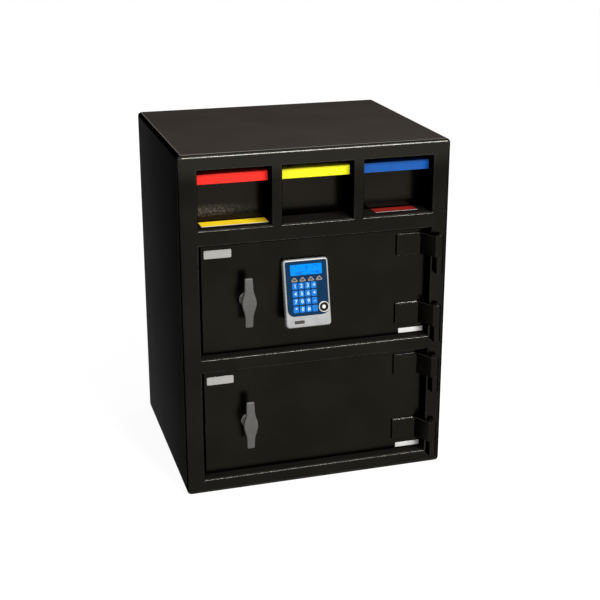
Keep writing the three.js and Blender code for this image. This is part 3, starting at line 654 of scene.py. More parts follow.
@dataclass(frozen=True)
class PowderCoat(Finish):
    """Baked black powder coat over sheet steel.

    Attributes:
        tint: The film's reflection, seen square on.
        roughness: Its mean roughness.
        grazing: Its reflection near grazing, as a tint of a bare metal's.
        bend: The colour of a painted highlight on bends that tilt up or down.
        crest: How strongly a thin painted highlight pales the film where a bend runs out into a top.
        pale: The colour of that painted highlight.
        worn: How many times lighter the film is at worn edges.
        drift: How many times lighter it is where it drifts.
        swing: How far its roughness drifts with it.
        specks: How much rougher its specks are.
        peel: The depth of the orange peel, in metres.
        pebble: The orange peel's bumps in a metre.
        dust: How much of a face that looks up is dulled by dust.
        above: The height under which less dust lies, in metres.
        dull: The colour of the dulled film.
        reach: How far the film rounds an edge, in metres.
        top_sheen: How much a painted sheen lightens the film towards the top of the safe.
        sheen_times: How many times lighter the film is under the painted sheen.
        sheen_heights: The heights between which the painted sheen comes up, in metres.
        reflection_band: The heights between which a painted reflection glints on the film, and the x past
            which it hardly shows, in metres.
        reflection_colour: The colour of the painted reflection.
    """

    tint: Colour
    roughness: float = 0.19
    grazing: float = 0.0
    bend: Colour = (0.045, 0.043, 0.039)
    crest: float = 0.85
    pale: Colour = (0.3, 0.28, 0.25)
    worn: float = 4.0
    drift: float = 1.25
    swing: float = 0.03
    specks: float = 0.08
    peel: float = 0.000014
    pebble: float = 700.0
    dust: float = 0.9
    above: float = 0.7
    dull: Colour = (0.047, 0.0393, 0.0345)
    reach: float = 0.0012
    top_sheen: float = 0.0
    sheen_times: float = 2.5
    sheen_heights: Span = (0.655, 0.7)
    reflection_band: Optional[Triple] = None
    reflection_colour: Colour = (0.115, 0.1, 0.074)

    def looks(self, g: Graph, effects: Effects) -> dict[str, Any]:
        """Draws a dark metallic film, which dust turns dull on faces that look up, with painted highlights on
        its bends and crests.

        Args:
            g: The material's graph.
            effects: The shared groups.

        Returns:
            What each of the shader's sockets gets.
        """
        grain = g.effect(effects.grain, Pebble=self.pebble)
        edge = g.effect(effects.edge, Reach=self.reach)
        dust = g.effect(effects.dust, Amount=self.dust, Above=self.above)["Dust"]
        film = g.mix(grain["Drift"], self.tint, scaled(self.tint, self.drift))
        # painted sheen: the film lightens towards the top of the safe
        if self.top_sheen:
            share = g.between(g.along(g.own(), "Z"), *self.sheen_heights, 0.0, self.top_sheen)
            film = g.mix(share, film, scaled(self.tint, self.sheen_times))
        # painted reflection: glints in a band over the film
        if self.reflection_band:
            low, high, end = self.reflection_band
            film = g.mix(g.effect(effects.rub, Low=low, High=high, End=end)["Rub"], film, self.reflection_colour)
        # painted highlight on the bends
        film = g.mix(edge["Bend"], film, self.bend)
        film = g.mix(edge["Wear"], film, scaled(self.tint, self.worn))
        film = g.mix(dust, film, self.dull)
        gloss = g.line(grain["Drift"], self.swing, self.roughness - self.swing / 2)
        return {
            # the thin painted highlight at crests goes over the film
            "Base_Color": g.mix(g.times(edge["Crest"], self.crest), film, self.pale),
            "Roughness": g.math("ADD", gloss, g.times(grain["Speck"], self.specks)),
            "Normal": g.bump(self.peel, grain["Height"], Normal=edge["Normal"]),
            "Metallic": g.math("SUBTRACT", 1.0, dust),
            "Specular_Tint": (self.grazing,) * 3,
            "Specular_IOR_Level": 0.0,
        }


@dataclass(frozen=True)
class SatinMetal(Finish):
    """Brushed, cast or plated metal.

    Attributes:
        tint: The metal's colour.
        dark: The colour of its blotches and pores.
        roughness: Its mean roughness.
        stretch: How often the lines repeat in a metre along each axis.
        depth: The lines' depth, in metres.
        metallic: The share of metal in the shader.
        streak: How strongly the lines darken it.
        blotches: How strongly the blotches darken it.
        swing: How far its roughness follows the lines.
        worn: How many times lighter its worn edges are.
    """

    tint: Colour
    dark: Colour
    roughness: float
    stretch: Triple
    depth: float = 0.00001
    metallic: float = 1.0
    streak: float = 0.55
    blotches: float = 0.25
    swing: float = 0.22
    worn: float = 1.35

    def looks(self, g: Graph, effects: Effects) -> dict[str, Any]:
        """Draws lines and blotches over the metal, with edges worn bright.

        Args:
            g: The material's graph.
            effects: The shared groups.

        Returns:
            What each of the shader's sockets gets.
        """
        lines, blotch = g.effect(effects.brushed, Stretch=self.stretch)
        edge = g.effect(effects.edge, Reach=FINE_REACH)
        body = g.mix(g.times(g.between(lines, 0.38, 0.66), self.streak), self.tint, self.dark)
        body = g.mix(g.times(blotch, self.blotches), body, self.dark)
        return {
            "Base_Color": g.mix(g.times(edge["Wear"], 0.6), body, scaled(self.tint, self.worn)),
            "Roughness": g.line(lines, self.swing, self.roughness - self.swing / 2),
            "Normal": g.bump(self.depth, lines, Normal=edge["Normal"]),
            "Metallic": self.metallic,
        }


@dataclass(frozen=True)
class MouldedPlastic(Finish):
    """Moulded or printed plastic with a fine spark grain.

    Attributes:
        tint: The colour.
        rim: The colour that worn edges go towards, lighter than the plastic as a painted edge highlight.
        roughness: Its mean roughness.
        grain: Spark grain, bumps in a metre.
        depth: The grain's depth, in metres.
        coat: The strength of a clear coat.
        metallic: The share of metal, for silver lacquer.
        specular: The strength of its gloss.
        drift: How many times lighter it is where it drifts.
        swing: How far its roughness drifts with it.
        worn: How far worn edges go towards the rim's colour, as wear and as a painted edge highlight.
    """

    tint: Colour
    rim: Colour
    roughness: float = 0.35
    grain: float = 2600.0
    depth: float = 0.000008
    coat: float = 0.0
    metallic: float = 0.0
    specular: float = 0.45
    drift: float = 1.12
    swing: float = 0.1
    worn: float = 0.5

    def looks(self, g: Graph, effects: Effects) -> dict[str, Any]:
        """Draws a colour that drifts a little, with rubbed edges painted lighter as a highlight, and a fine
        grain.

        Args:
            g: The material's graph.
            effects: The shared groups.

        Returns:
            What each of the shader's sockets gets.
        """
        grain = g.effect(effects.grain, Pebble=self.grain, Drift=60.0)
        edge = g.effect(effects.edge, Reach=FINE_REACH, Break=300.0)
        body = g.mix(grain["Drift"], self.tint, scaled(self.tint, self.drift))
        return {
            # worn edges, painted lighter as a highlight
            "Base_Color": g.mix(g.times(edge["Wear"], self.worn), body, self.rim),
            "Roughness": g.line(grain["Drift"], self.swing, self.roughness - self.swing / 2),
            "Normal": g.bump(self.depth, grain["Height"], Normal=edge["Normal"]),
            "Metallic": self.metallic,
            "Coat_Weight": self.coat,
            "Specular_IOR_Level": self.specular,
        }


@dataclass(frozen=True)
class LitScreen(Finish):
    """A backlit panel: azure light with darker cells that drift in rows, and no characters.

    Attributes:
        glow: The backlight's colour.
        shade: The colour of the darker patches.
        strength: The light's strength.
        unlit: How dark the panel is by itself, as a share of its light's colour.
    """

    glow: Colour
    shade: Colour
    strength: float
    unlit: float = 0.25

    def looks(self, g: Graph, effects: Effects) -> dict[str, Any]:
        """Draws dark patches broken into square cells, and fine scratches in the gloss.

        Args:
            g: The material's graph.
            effects: The shared groups.

        Returns:
            What each of the shader's sockets gets.
        """
        patch = g.between(g.noise(g.stretched((110, 110, 240)), 1.0, 2.0), 0.5, 0.66)
        kind = {"feature": "F1", "distance": "CHEBYCHEV"}
        fine = g.stretched((1600, 1600, 1600))
        cells = g.add("ShaderNodeTexVoronoi", kind, Vector=fine).outputs["Distance"]
        dark = g.times(patch, g.line(g.between(cells, 0.25, 0.5), 0.2, 0.5))
        scratch = g.noise(g.stretched((900, 900, 60)), 1.0, 3.0)
        return {
            "Base_Color": g.mix(dark, scaled(self.glow, self.unlit), scaled(self.shade, self.unlit)),
            "Roughness": g.line(scratch, 0.12, 0.1),
            "Specular_IOR_Level": 0.08,
            "Emission_Color": g.mix(dark, self.glow, self.shade),
            "Emission_Strength": self.strength,
        }


@dataclass(frozen=True)
class PaperLabel(Finish):
    """A pasted label: coated paper or vinyl with faint fibre and stains, and a painted highlight along its
    front edge.

    Attributes:
        tint: The face's colour.
        edge: The colour of the painted highlight along the front edge.
        front: The y past which the painted highlight shows, in metres.
        glow: How much light the label gives off, painted light that makes up for the dim recess.
        roughness: Its mean roughness.
        soil: The face's colour in its stains, as a share of its own.
        border: Half the width over which the painted highlight begins.
        waver: How far its border waves.
    """

    tint: Colour
    edge: Colour
    front: float = -1.0
    glow: float = 0.0
    roughness: float = 0.45
    soil: float = 0.86
    border: float = 0.2 * MM
    waver: float = 1.2 * MM

    def looks(self, g: Graph, effects: Effects) -> dict[str, Any]:
        """Draws the stained face, and a painted highlight along the front with a border that waves a little.

        Args:
            g: The material's graph.
            effects: The shared groups.

        Returns:
            What each of the shader's sockets gets.
        """
        where = g.own()
        fibre, stain = g.noise(where, 1500.0, 4.0), g.noise(where, 45.0, 4.0)
        body = g.mix(g.between(stain, 0.4, 0.7), self.tint, scaled(self.tint, self.soil))
        wave = g.times(g.math("SUBTRACT", stain, 0.5), self.waver)
        y = g.math("ADD", g.along(where, "Y"), wave)
        # painted highlight along the label's front edge
        strip = g.between(y, self.front - self.border, self.front + self.border, 1.0, 0.0)
        colour = g.mix(strip, body, self.edge)
        return {
            "Base_Color": colour,
            "Roughness": g.line(fibre, 0.15, self.roughness - 0.07),
            "Normal": g.bump(0.00001, fibre),
            # painted light: the label glows with its own colour
            "Emission_Color": colour,
            "Emission_Strength": self.glow,
        }


# Colours that more than one paint, plastic or paper shares, in linear light
BLACK_FILM = (0.0108, 0.0103, 0.0082)
DOOR_FILM = (0.0096, 0.009, 0.0068)
HOPPER_FILM = (0.0125, 0.011, 0.0085)
NEAR_BLACK = (0.006, 0.006, 0.006)
SOOT = (0.03, 0.03, 0.03)
PAPER = (0.82, 0.81, 0.78)


class Finishes:
    """Every material of the safe, made once and found by name."""

    def __init__(self) -> None:
        """Makes the shared effects and each finish."""
        hopper = {"roughness": 0.2, "peel": 0.00002}
        strip = {"roughness": 0.32, "grain": 900, "depth": 0.00001, "specular": 0.3}
        soft_key = {"roughness": 0.5, "grain": 3000, "depth": 0.000005, "specular": 0.2}
        kinds = [
            PowderCoat("body_paint", BLACK_FILM),
            # the front frame carries the painted sheen towards its top
            PowderCoat("frame_paint", (0.0098, 0.0093, 0.0073), grazing=0.05, top_sheen=0.9),
            PowderCoat("door_paint", DOOR_FILM, roughness=0.24, grazing=0.08),
            # the straps' bend colour is a strong painted highlight along their edges
            PowderCoat("strap_paint", DOOR_FILM, roughness=0.24, grazing=0.08, bend=(0.4, 0.38, 0.35)),
            PowderCoat(
                "inner_paint", (0.03, 0.029, 0.027), roughness=0.4, peel=0.00003, above=-1.0,
                dull=(0.05, 0.046, 0.042),
            ),
            PowderCoat("hopper_paint", HOPPER_FILM, **hopper),
            # the left hopper's paint, with a painted reflection glinting low on it
            PowderCoat("hopper_reflection_paint", HOPPER_FILM, **hopper, reflection_band=(0.577, 0.607, -0.13)),
            SatinMetal(
                "cast_grey", (0.099, 0.095, 0.087), (0.066, 0.064, 0.058), 0.5, (700, 700, 14),
                depth=0.000006, metallic=0.25, streak=0.45,
            ),
            # painted light: a lighter copy of cast_grey for the hub, so that it shows lit in the blade's
            # shadow
            SatinMetal(
                "cast_grey_painted_lighter", (0.26, 0.25, 0.23), (0.15, 0.145, 0.135), 0.45, (300, 300, 300),
                metallic=0.5, streak=0.3,
            ),
            SatinMetal("zinc_plate", (0.52, 0.51, 0.47), (0.3, 0.29, 0.25), 0.32, (40, 900, 900), 0.000006),
            SatinMetal("die_cast", (0.42, 0.4, 0.33), (0.25, 0.23, 0.18), 0.5, (300, 300, 300), 0.00002),
            SatinMetal("name_plate", (0.4, 0.39, 0.365), (0.33, 0.32, 0.3), 0.38, (25, 25, 2600), 0.000004),
            # the plastics' rim colours paint a highlight onto their worn edges
            MouldedPlastic("keypad_silver", (0.36, 0.365, 0.36), (0.85, 0.86, 0.86), 0.34, metallic=0.1),
            MouldedPlastic(
                "keypad_navy", (0.004, 0.026, 0.068), (0.01, 0.05, 0.12), 0.3,
                grain=3500, depth=0.000003, specular=0.06,
            ),
            MouldedPlastic(
                "key_blue", (0.01, 0.155, 0.53), (0.07, 0.36, 0.8), 0.35,
                grain=3000, depth=0.000004, specular=0.15,
            ),
            MouldedPlastic("soft_key", (0.24, 0.21, 0.195), (0.42, 0.38, 0.36), **soft_key),
            MouldedPlastic("soft_key_dark", (0.06, 0.05, 0.05), (0.2, 0.18, 0.17), **soft_key),
            MouldedPlastic("wedge_black", NEAR_BLACK, SOOT, 0.5, specular=0.1),
            MouldedPlastic("key_figure", (0.55, 0.78, 0.88), (0.7, 0.9, 0.95), 0.45),
            MouldedPlastic("reader_cream", (0.8, 0.77, 0.69), (0.9, 0.88, 0.82), 0.3, coat=0.3),
            MouldedPlastic("reader_black", NEAR_BLACK, SOOT, 0.4, specular=0.1),
            MouldedPlastic("chin_dark", (0.035, 0.032, 0.03), (0.3, 0.3, 0.3), 0.35),
            MouldedPlastic("chin_rim", (0.42, 0.41, 0.4), (0.6, 0.6, 0.6), 0.35),
            MouldedPlastic("red_strip", (0.95, 0.022, 0.013), (1.0, 0.3, 0.28), **strip),
            MouldedPlastic("yellow_strip", (0.93, 0.86, 0.014), (1.0, 0.95, 0.35), **strip),
            MouldedPlastic("blue_strip", (0.003, 0.078, 0.33), (0.25, 0.42, 0.75), **strip),
            LitScreen("keypad_screen", (0.0005, 0.29, 0.98), (0.001, 0.1, 0.55), 0.8),
            PaperLabel("white_label", PAPER, PAPER),
            # the yellow label glows: painted light against the recess's shade
            PaperLabel("yellow_label", (0.95, 0.64, 0.012), (0.95, 0.93, 0.88), front=-0.2063, glow=0.28),
            PaperLabel("red_label", (0.3, 0.01, 0.006), (0.8, 0.76, 0.74), front=-0.2031),
        ]
        effects = Effects()
        self.made = {kind.name: kind.build(effects) for kind in kinds}

    def dress(self, piece: Any, name: str) -> None:
        """Gives a piece one finish all over."""
        piece.data.materials.clear()
        piece.data.materials.append(self.made[name])


# Shared ways of dressing


def smooth_group() -> bpy.types.NodeTree:
    """Geometry nodes that shade faces smooth and keep edges sharp past an angle.

    Returns:
        The group.
    """
    tree = bpy.data.node_groups.new("smooth_by_angle", "GeometryNodeTree")
    tree.interface.new_socket("Geometry", in_out="INPUT", socket_type="NodeSocketGeometry")
    tree.interface.new_socket("Angle", in_out="INPUT", socket_type=FLOAT).default_value = math.radians(38)
    tree.interface.new_socket("Geometry", in_out="OUTPUT", socket_type="NodeSocketGeometry")
    g = Graph(tree)
    sent = g.add("NodeGroupInput").outputs
    turn = g.add("GeometryNodeInputMeshEdgeAngle").outputs[0]
    test = {"data_type": "FLOAT", "operation": "GREATER_THAN"}
    past = g.add("FunctionNodeCompare", test, in0=turn, in1=sent["Angle"]).outputs[0]
    shading, smooth, sharp = "GeometryNodeSetShadeSmooth", {"domain": "FACE"}, {"domain": "EDGE"}
    soft = g.add(shading, smooth, Geometry=sent["Geometry"], Shade_Smooth=True).outputs[0]
    hard = g.add(shading, sharp, Geometry=soft, Selection=past, Shade_Smooth=False).outputs[0]
    g.add("NodeGroupOutput", Geometry=hard)
    return tree


@dataclass
class Softener:
    """Merges, rounds and shades the CAD nodes that stay, with modifiers alone.

    Attributes:
        merge: How near two points are to be one, in metres.
        flat: Edges that turn by fewer degrees than this are dissolved.
        sharp: Edges that turn by more degrees than this are rounded.
        weight: How strongly large faces draw the normals.
        group: The shared shading.
    """

    merge: float = 0.00001
    flat: float = 0.4
    sharp: float = 40.0
    weight: int = 60
    group: bpy.types.NodeTree = field(default_factory=smooth_group)

    def apply(self, node: Any, bevel: float, steps: int) -> None:
        """Adds the modifiers to a node.

        Args:
            node: The node's object.
            bevel: The width of the rounding on its sharp edges, or 0 for none.
            steps: Pieces in the rounding.
        """
        weld = node.modifiers.new("merge", "WELD")
        weld.merge_threshold = self.merge
        if bevel:
            flat = node.modifiers.new("flats", "DECIMATE")
            flat.decimate_type, flat.angle_limit = "DISSOLVE", math.radians(self.flat)
            soft = node.modifiers.new("edges", "BEVEL")
            soft.width, soft.segments, soft.limit_method = bevel, steps, "ANGLE"
            soft.angle_limit, soft.use_clamp_overlap = math.radians(self.sharp), True
        shade = node.modifiers.new("shade", "NODES")
        shade.node_group = self.group
        normal = node.modifiers.new("normals", "WEIGHTED_NORMAL")
        normal.keep_sharp, normal.weight = True, self.weight


@dataclass
class Workshop:
    """What every sub-assembly is built with.

    Attributes:
        nodes: The CAD nodes' objects, by name.
        finishes: The materials.
        softener: What rounds the nodes that stay.
    """

    nodes: dict[str, Any]
    finishes: Finishes = field(default_factory=Finishes)
    softener: Softener = field(default_factory=Softener)

    def keep(self, names: Iterable[str], finish: str, bevel: float = 0.0, steps: int = 2) -> None:
        """Keeps CAD nodes on show, with a finish and rounded edges.

        Args:
            names: The nodes.
            finish: The name of their finish.
            bevel: The width of the rounding on their sharp edges, or 0 for none.
            steps: Pieces in the rounding.
        """
        for name in names:
            self.finishes.dress(self.nodes[name], finish)
            self.softener.apply(self.nodes[name], bevel, steps)
            LOG.info("kept node %s in %s", name, finish)

    def place(
        self, piece: Any, body: str, finish: str, slot: Optional[str] = None, instead_of: Sequence[str] = ()
    ) -> None:
        """Finishes a new piece and fixes it to its body.

        Args:
            piece: The new object.
            body: The CAD body it rides on.
            finish: The name of its finish.
            slot: The material slot that would fit it; not used.
            instead_of: The CAD nodes it stands for.
        """
        self.finishes.dress(piece, finish)
        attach(piece, body)
        if instead_of:
            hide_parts(*instead_of)
        LOG.info("piece %s: %d faces on %s in %s", piece.name, len(piece.data.polygons), body, finish)


# Sub-assemblies


@dataclass
class SafeBody:
    """The standing body: wrap, front frame, back, shelf, liner, deck and baffle.

    Attributes:
        shop: The shared workshop.
        soft: The rounding of sheet edges.
    """

    shop: Workshop
    soft: float = 0.6 * MM

    def build(self) -> None:
        """Dresses the body's nodes."""
        self.shop.keep(["body_wrap"], "body_paint")
        self.shop.keep(["front_frame"], "frame_paint")
        self.shop.keep(["back_panel"], "body_paint", self.soft)
        self.shop.keep(["deposit_liner"], "body_paint")
        self.shop.keep(["middle_shelf", "deposit_deck", "drop_baffle"], "inner_paint", self.soft)
        self.shop.keep([f"hinge_post_{i}" for i in range(1, 5)], "body_paint")


@dataclass
class DepositHoppers:
    """The three tilting hoppers and their coloured lip covers.

    Attributes:
        shop: The shared workshop.
        sheet: The covers' sheet.
        bend: The outer radius of a cover's bend.
        hollow: The radius inside the bend.
        soft: The rounding of the sheets' edges.
        ends: The rounding of a cover's two ends.
        steps: Pieces in the bend.
    """

    shop: Workshop
    sheet: float = 2 * MM
    bend: float = 1.6 * MM
    hollow: float = 0.3 * MM
    soft: float = 0.4 * MM
    ends: float = 0.35 * MM
    steps: int = 5

    def cover(self, side: Side) -> Any:
        """A lip cover: an L of sheet, rounded over at the bend, carried along X.

        Args:
            side: The window it belongs to.

        Returns:
            The cover's object.
        """
        low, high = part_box(f"hopper_strip_{side.value}")
        back, under = low.y + self.sheet, high.z - self.sheet
        corners = np.array(
            [(low.y, low.z), (back, low.z), (back, under), (high.y, under), (high.y, high.z), (low.y, high.z)]
        )
        radii = np.array([self.soft, self.soft, self.hollow, self.soft, self.soft, self.bend])
        profile = rounded_polygon(corners, radii, self.steps)
        return swept(f"lip_cover_{side.value}", profile, low.x, high.x, self.ends)

    def build(self) -> None:
        """Builds the covers and dresses the hoppers."""
        colours = {Side.LEFT: "red_strip", Side.MIDDLE: "yellow_strip", Side.RIGHT: "blue_strip"}
        for side in Side:
            # the left hopper takes the paint with the painted reflection
            paint = "hopper_reflection_paint" if side is Side.LEFT else "hopper_paint"
            self.shop.keep([f"hopper_{side.value}"], paint, self.soft)
            name = f"hopper_strip_{side.value}"
            self.shop.place(self.cover(side), f"{side.value}_hopper", colours[side], colours[side], [name])


@dataclass
class TurnHandle:
    """A cast turn handle: a blade that swells over its hub, and the hub with its two grooves.

    Attributes:
        shop: The shared workshop.
        door: The door it is on.
        thickness: The blade's thickness.
        edge: The radius of the blade's ends.
        widths: Heights off the blade's middle and its half width there, in millimetres.
        bow: How far the blade's ends lie back from its middle.
        hub: The hub's radius.
        hub_rows: The hub's profile from the door to the blade: millimetres in from its radius, the
            share of the way to the blade's back, and millimetres further on.
    """

    shop: Workshop
    door: Door
    thickness: float = 11 * MM
    edge: float = 2.4 * MM
    widths: tuple[Span, ...] = ((-52, 7.6), (-26, 8.4), (-5, 14.6), (6, 14.6), (25, 8.8), (51.7, 7.9))
    bow: float = 5 * MM
    hub: float = 13.4 * MM
    hub_rows: tuple[Triple, ...] = (
        (0.8, 0, 0), (0, 0, 0.8), (0, 0.2, 0), (1.2, 0.24, 0), (1.2, 0.3, 0), (0, 0.34, 0), (0.6, 0.42, 0),
        (3, 0.55, 0), (3.2, 0.68, 0), (2, 0.82, 0), (0.4, 0.95, 0), (0, 1, 0), (0.6, 1, 0.4), (7.4, 1, 0.5),
    )

    def half_widths(self, heights: Array) -> Array:
        """The blade's half width: straight runs between the given widths, averaged over 8 mm.

        Args:
            heights: Heights off the blade's middle.

        Returns:
            One half width a height.
        """
        at, wide = np.array(self.widths).T * MM
        near = heights[:, None] + np.linspace(-4, 4, 17) * MM
        return np.interp(near, at, wide).mean(1)

    def blade(self, x: float, z: float, back: float) -> Any:
        """The blade: a softened oblong section carried up its length.

        The section is x = w * cos(a)^(1/3) and y = h * sin(a)^(1/3), signs kept. Its half width w
        follows the blade, and both w and h are drawn in by a quarter round at the ends. The section
        moves back by bow times its share of the way to an end, to the power 1.4.

        Args:
            x: The x of its middle.
            z: The height of its middle.
            back: The y of its back.

        Returns:
            The blade's object.
        """
        foot, head = self.widths[0][0] * MM, self.widths[-1][0] * MM
        turn = np.linspace(0, np.pi / 2, 7)
        rise, draw = self.edge * (1 - np.cos(turn)), self.edge * (1 - np.sin(turn))
        straight = np.linspace(foot + self.edge, head - self.edge, 72)[1:-1]
        heights = np.concatenate([foot + rise, straight, (head - rise)[::-1]])[:, None]
        drawn = np.concatenate([draw, np.zeros(len(straight)), draw[::-1]])[:, None]
        sides = 56
        around = (np.arange(sides) + 0.5) * 2 * np.pi / sides
        across, deep = (np.sign(f) * np.abs(f) ** (1 / 3) for f in (np.cos(around), np.sin(around)))
        wide = self.half_widths(heights[:, 0])[:, None] - drawn
        half = self.thickness / 2
        bow = self.bow * (np.abs(heights) / head) ** 1.4
        y = back - half + bow * (1 - deep) / 2 + (half - drawn) * deep
        rings = np.stack([x + wide * across, y, np.broadcast_to(z + heights, y.shape)], axis=-1)
        return grid_object(f"handle_blade_{self.door.value}", rings, smooth=50)

    def build(self) -> None:
        """Builds the blade and the hub."""
        node = f"handle_{self.door.value}"
        low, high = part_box(node)
        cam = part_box(f"spindle_cam_{self.door.value}")
        x, z = (low.x + high.x) / 2, (cam[0].z + cam[1].z) / 2
        back = low.y + self.thickness
        body = f"{self.door.value}_handle"
        self.shop.place(self.blade(x, z, back), body, "cast_grey", "cast_grey", [node])
        drawn, share, on = np.array(self.hub_rows).T
        y = high.y - share * (high.y - back) - on * MM
        hub = turned(f"handle_hub_{self.door.value}", (x, z), np.stack([self.hub - drawn * MM, y], axis=1))
        # the hub takes the lighter copy of the blade's cast grey: painted light
        self.shop.place(hub, body, "cast_grey_painted_lighter", "cast_grey")


@dataclass
class DoorLeaf:
    """A door with its straps, weld beads, boltwork, plate and bare label.

    Attributes:
        shop: The shared workshop.
        door: Which door.
        straps: The numbers of its hinge straps.
        label_foot: The height of the label's lower edge.
        label_span: The x of the label's two ends.
        label_height: The label's height.
        bead: The weld bead's radius.
        bead_span: Where a bead starts and ends, off the strap's left end.
        sunk: How far a bead's middle lies in front of the door's face.
        soft: The rounding of the door's edges and its dead bar's.
    """

    shop: Workshop
    door: Door
    straps: tuple[int, int]
    label_foot: float
    label_span: Span = (184 * MM, 238.6 * MM)
    label_height: float = 10.4 * MM
    bead: float = 1.7 * MM
    bead_span: Span = (1 * MM, 50 * MM)
    sunk: float = 0.6 * MM
    soft: float = 0.8 * MM

    def weld_bead(self, name: str, start: Vector, end: Vector, seed: float) -> Any:
        """A weld bead between two points along X.

        The radius is the bead's own, times 1 + 0.16 * sine of the place along it, for the ripples
        of the puddle, with slower sines that let it wander, and it tapers over the last 2.2 mm.

        Args:
            name: The object's name.
            start: One end.
            end: The other end.
            seed: A phase, so that no two beads are alike.

        Returns:
            The bead's object.
        """
        share = np.linspace(0, 1, 90)
        length = abs(end.x - start.x)
        place = share * length
        taper = np.clip(np.minimum(share, 1 - share) * length / (2.2 * MM), 0.02, 1) ** 0.5
        ripple = 1 + 0.16 * np.sin(place / MM * 2.4 + seed) + 0.12 * np.sin(place / MM * 0.61 + 2.1 * seed)
        radius = self.bead * taper * ripple
        y = start.y + 0.25 * MM * np.sin(place / MM * 0.5 + seed)
        z = start.z + 0.35 * MM * np.sin(place / MM * 0.33 + 1.7 * seed)
        section = np.stack([y, z], axis=1)[:, None] + radius[:, None, None] * circle((0, 0), 1, 12)
        along = np.broadcast_to((start.x + (end.x - start.x) * share)[:, None], section.shape[:2])
        rings = np.stack([along, section[..., 0], section[..., 1]], axis=-1)
        return grid_object(name, rings, (Cap.POLE, Cap.POLE), 80)

    def beads(self) -> None:
        """Lays a bead along the top and the bottom of each strap's pad."""
        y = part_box(f"door_{self.door.value}")[0].y - self.sunk
        for number in self.straps:
            low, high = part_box(f"hinge_strap_{number}")
            for label, z in (("top", high.z), ("foot", low.z)):
                start, end = (Vector((low.x + x, y, z)) for x in self.bead_span)
                bead = self.weld_bead(f"weld_bead_{label}_{number}", start, end, number + (label == "foot"))
                self.shop.place(bead, f"{self.door.value}_door", "strap_paint", "door_paint")

    def label(self) -> None:
        """Pastes the bare white label in the door's lower corner."""
        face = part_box(f"door_{self.door.value}")[0].y
        left, right = self.label_span
        corner = (right, self.label_foot + self.label_height)
        outline = rounded_rectangle((left, self.label_foot), corner, 0.6 * MM, 4)
        piece = raised_plate(f"bare_label_{self.door.value}", outline, face, 0.18 * MM, 0.06 * MM, steps=2)
        self.shop.place(piece, f"{self.door.value}_door", "white_label")

    def name_plate(self) -> None:
        """Replaces the name plate with one whose edge is rolled over, its face bare."""
        node = f"name_plate_{self.door.value}"
        low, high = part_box(node)
        outline = rounded_rectangle((low.x, low.z), (high.x, high.z), 2.6 * MM, 8)
        piece = raised_plate(f"bare_plate_{self.door.value}", outline, high.y, high.y - low.y, 0.5 * MM)
        self.shop.place(piece, f"{self.door.value}_door", "name_plate", "name_plate", [node])

    def build(self) -> None:
        """Builds and dresses everything on the door."""
        d = self.door.value
        self.shop.keep([f"door_{d}", f"dead_bar_{d}"], "door_paint", self.soft)
        self.shop.keep([f"hinge_strap_{i}" for i in self.straps], "strap_paint", 0.9 * MM)
        self.shop.keep([f"bolt_guide_{d}"], "inner_paint", 0.4 * MM)
        self.shop.keep([f"bolt_carriage_{d}", f"spindle_cam_{d}"], "zinc_plate")
        self.beads()
        self.label()
        self.name_plate()


@dataclass(frozen=True)
class Leaning:
    """The upright frame that the keypad is laid out in, and its lean off the door.

    A point leans by turning about the line (y, z) = hinge, its foot coming forward.

    Attributes:
        hinge: The line's y and z.
        angle: The lean.
    """

    hinge: Span
    angle: float = math.pi / 14

    def matrix(self) -> Matrix:
        """The turn about the hinge line."""
        there = Matrix.Translation((0, *self.hinge))
        return there @ Matrix.Rotation(-self.angle, 4, "X") @ there.inverted()

    def box(self, node: Any) -> tuple[Vector, Vector]:
        """A node's own box in the upright frame.

        Args:
            node: The node's object.

        Returns:
            Its lowest and highest corners.
        """
        flat = np.empty(len(node.data.vertices) * 3, np.float32)
        node.data.vertices.foreach_get("co", flat)
        back = np.array(self.matrix().inverted())
        upright = flat.reshape(-1, 3) @ back[:3, :3].T + back[:3, 3]
        return Vector(upright.min(0)), Vector(upright.max(0))

    def lean(self, piece: Any) -> None:
        """Leans a piece by moving its points."""
        piece.data.transform(self.matrix())
        piece.data.update()


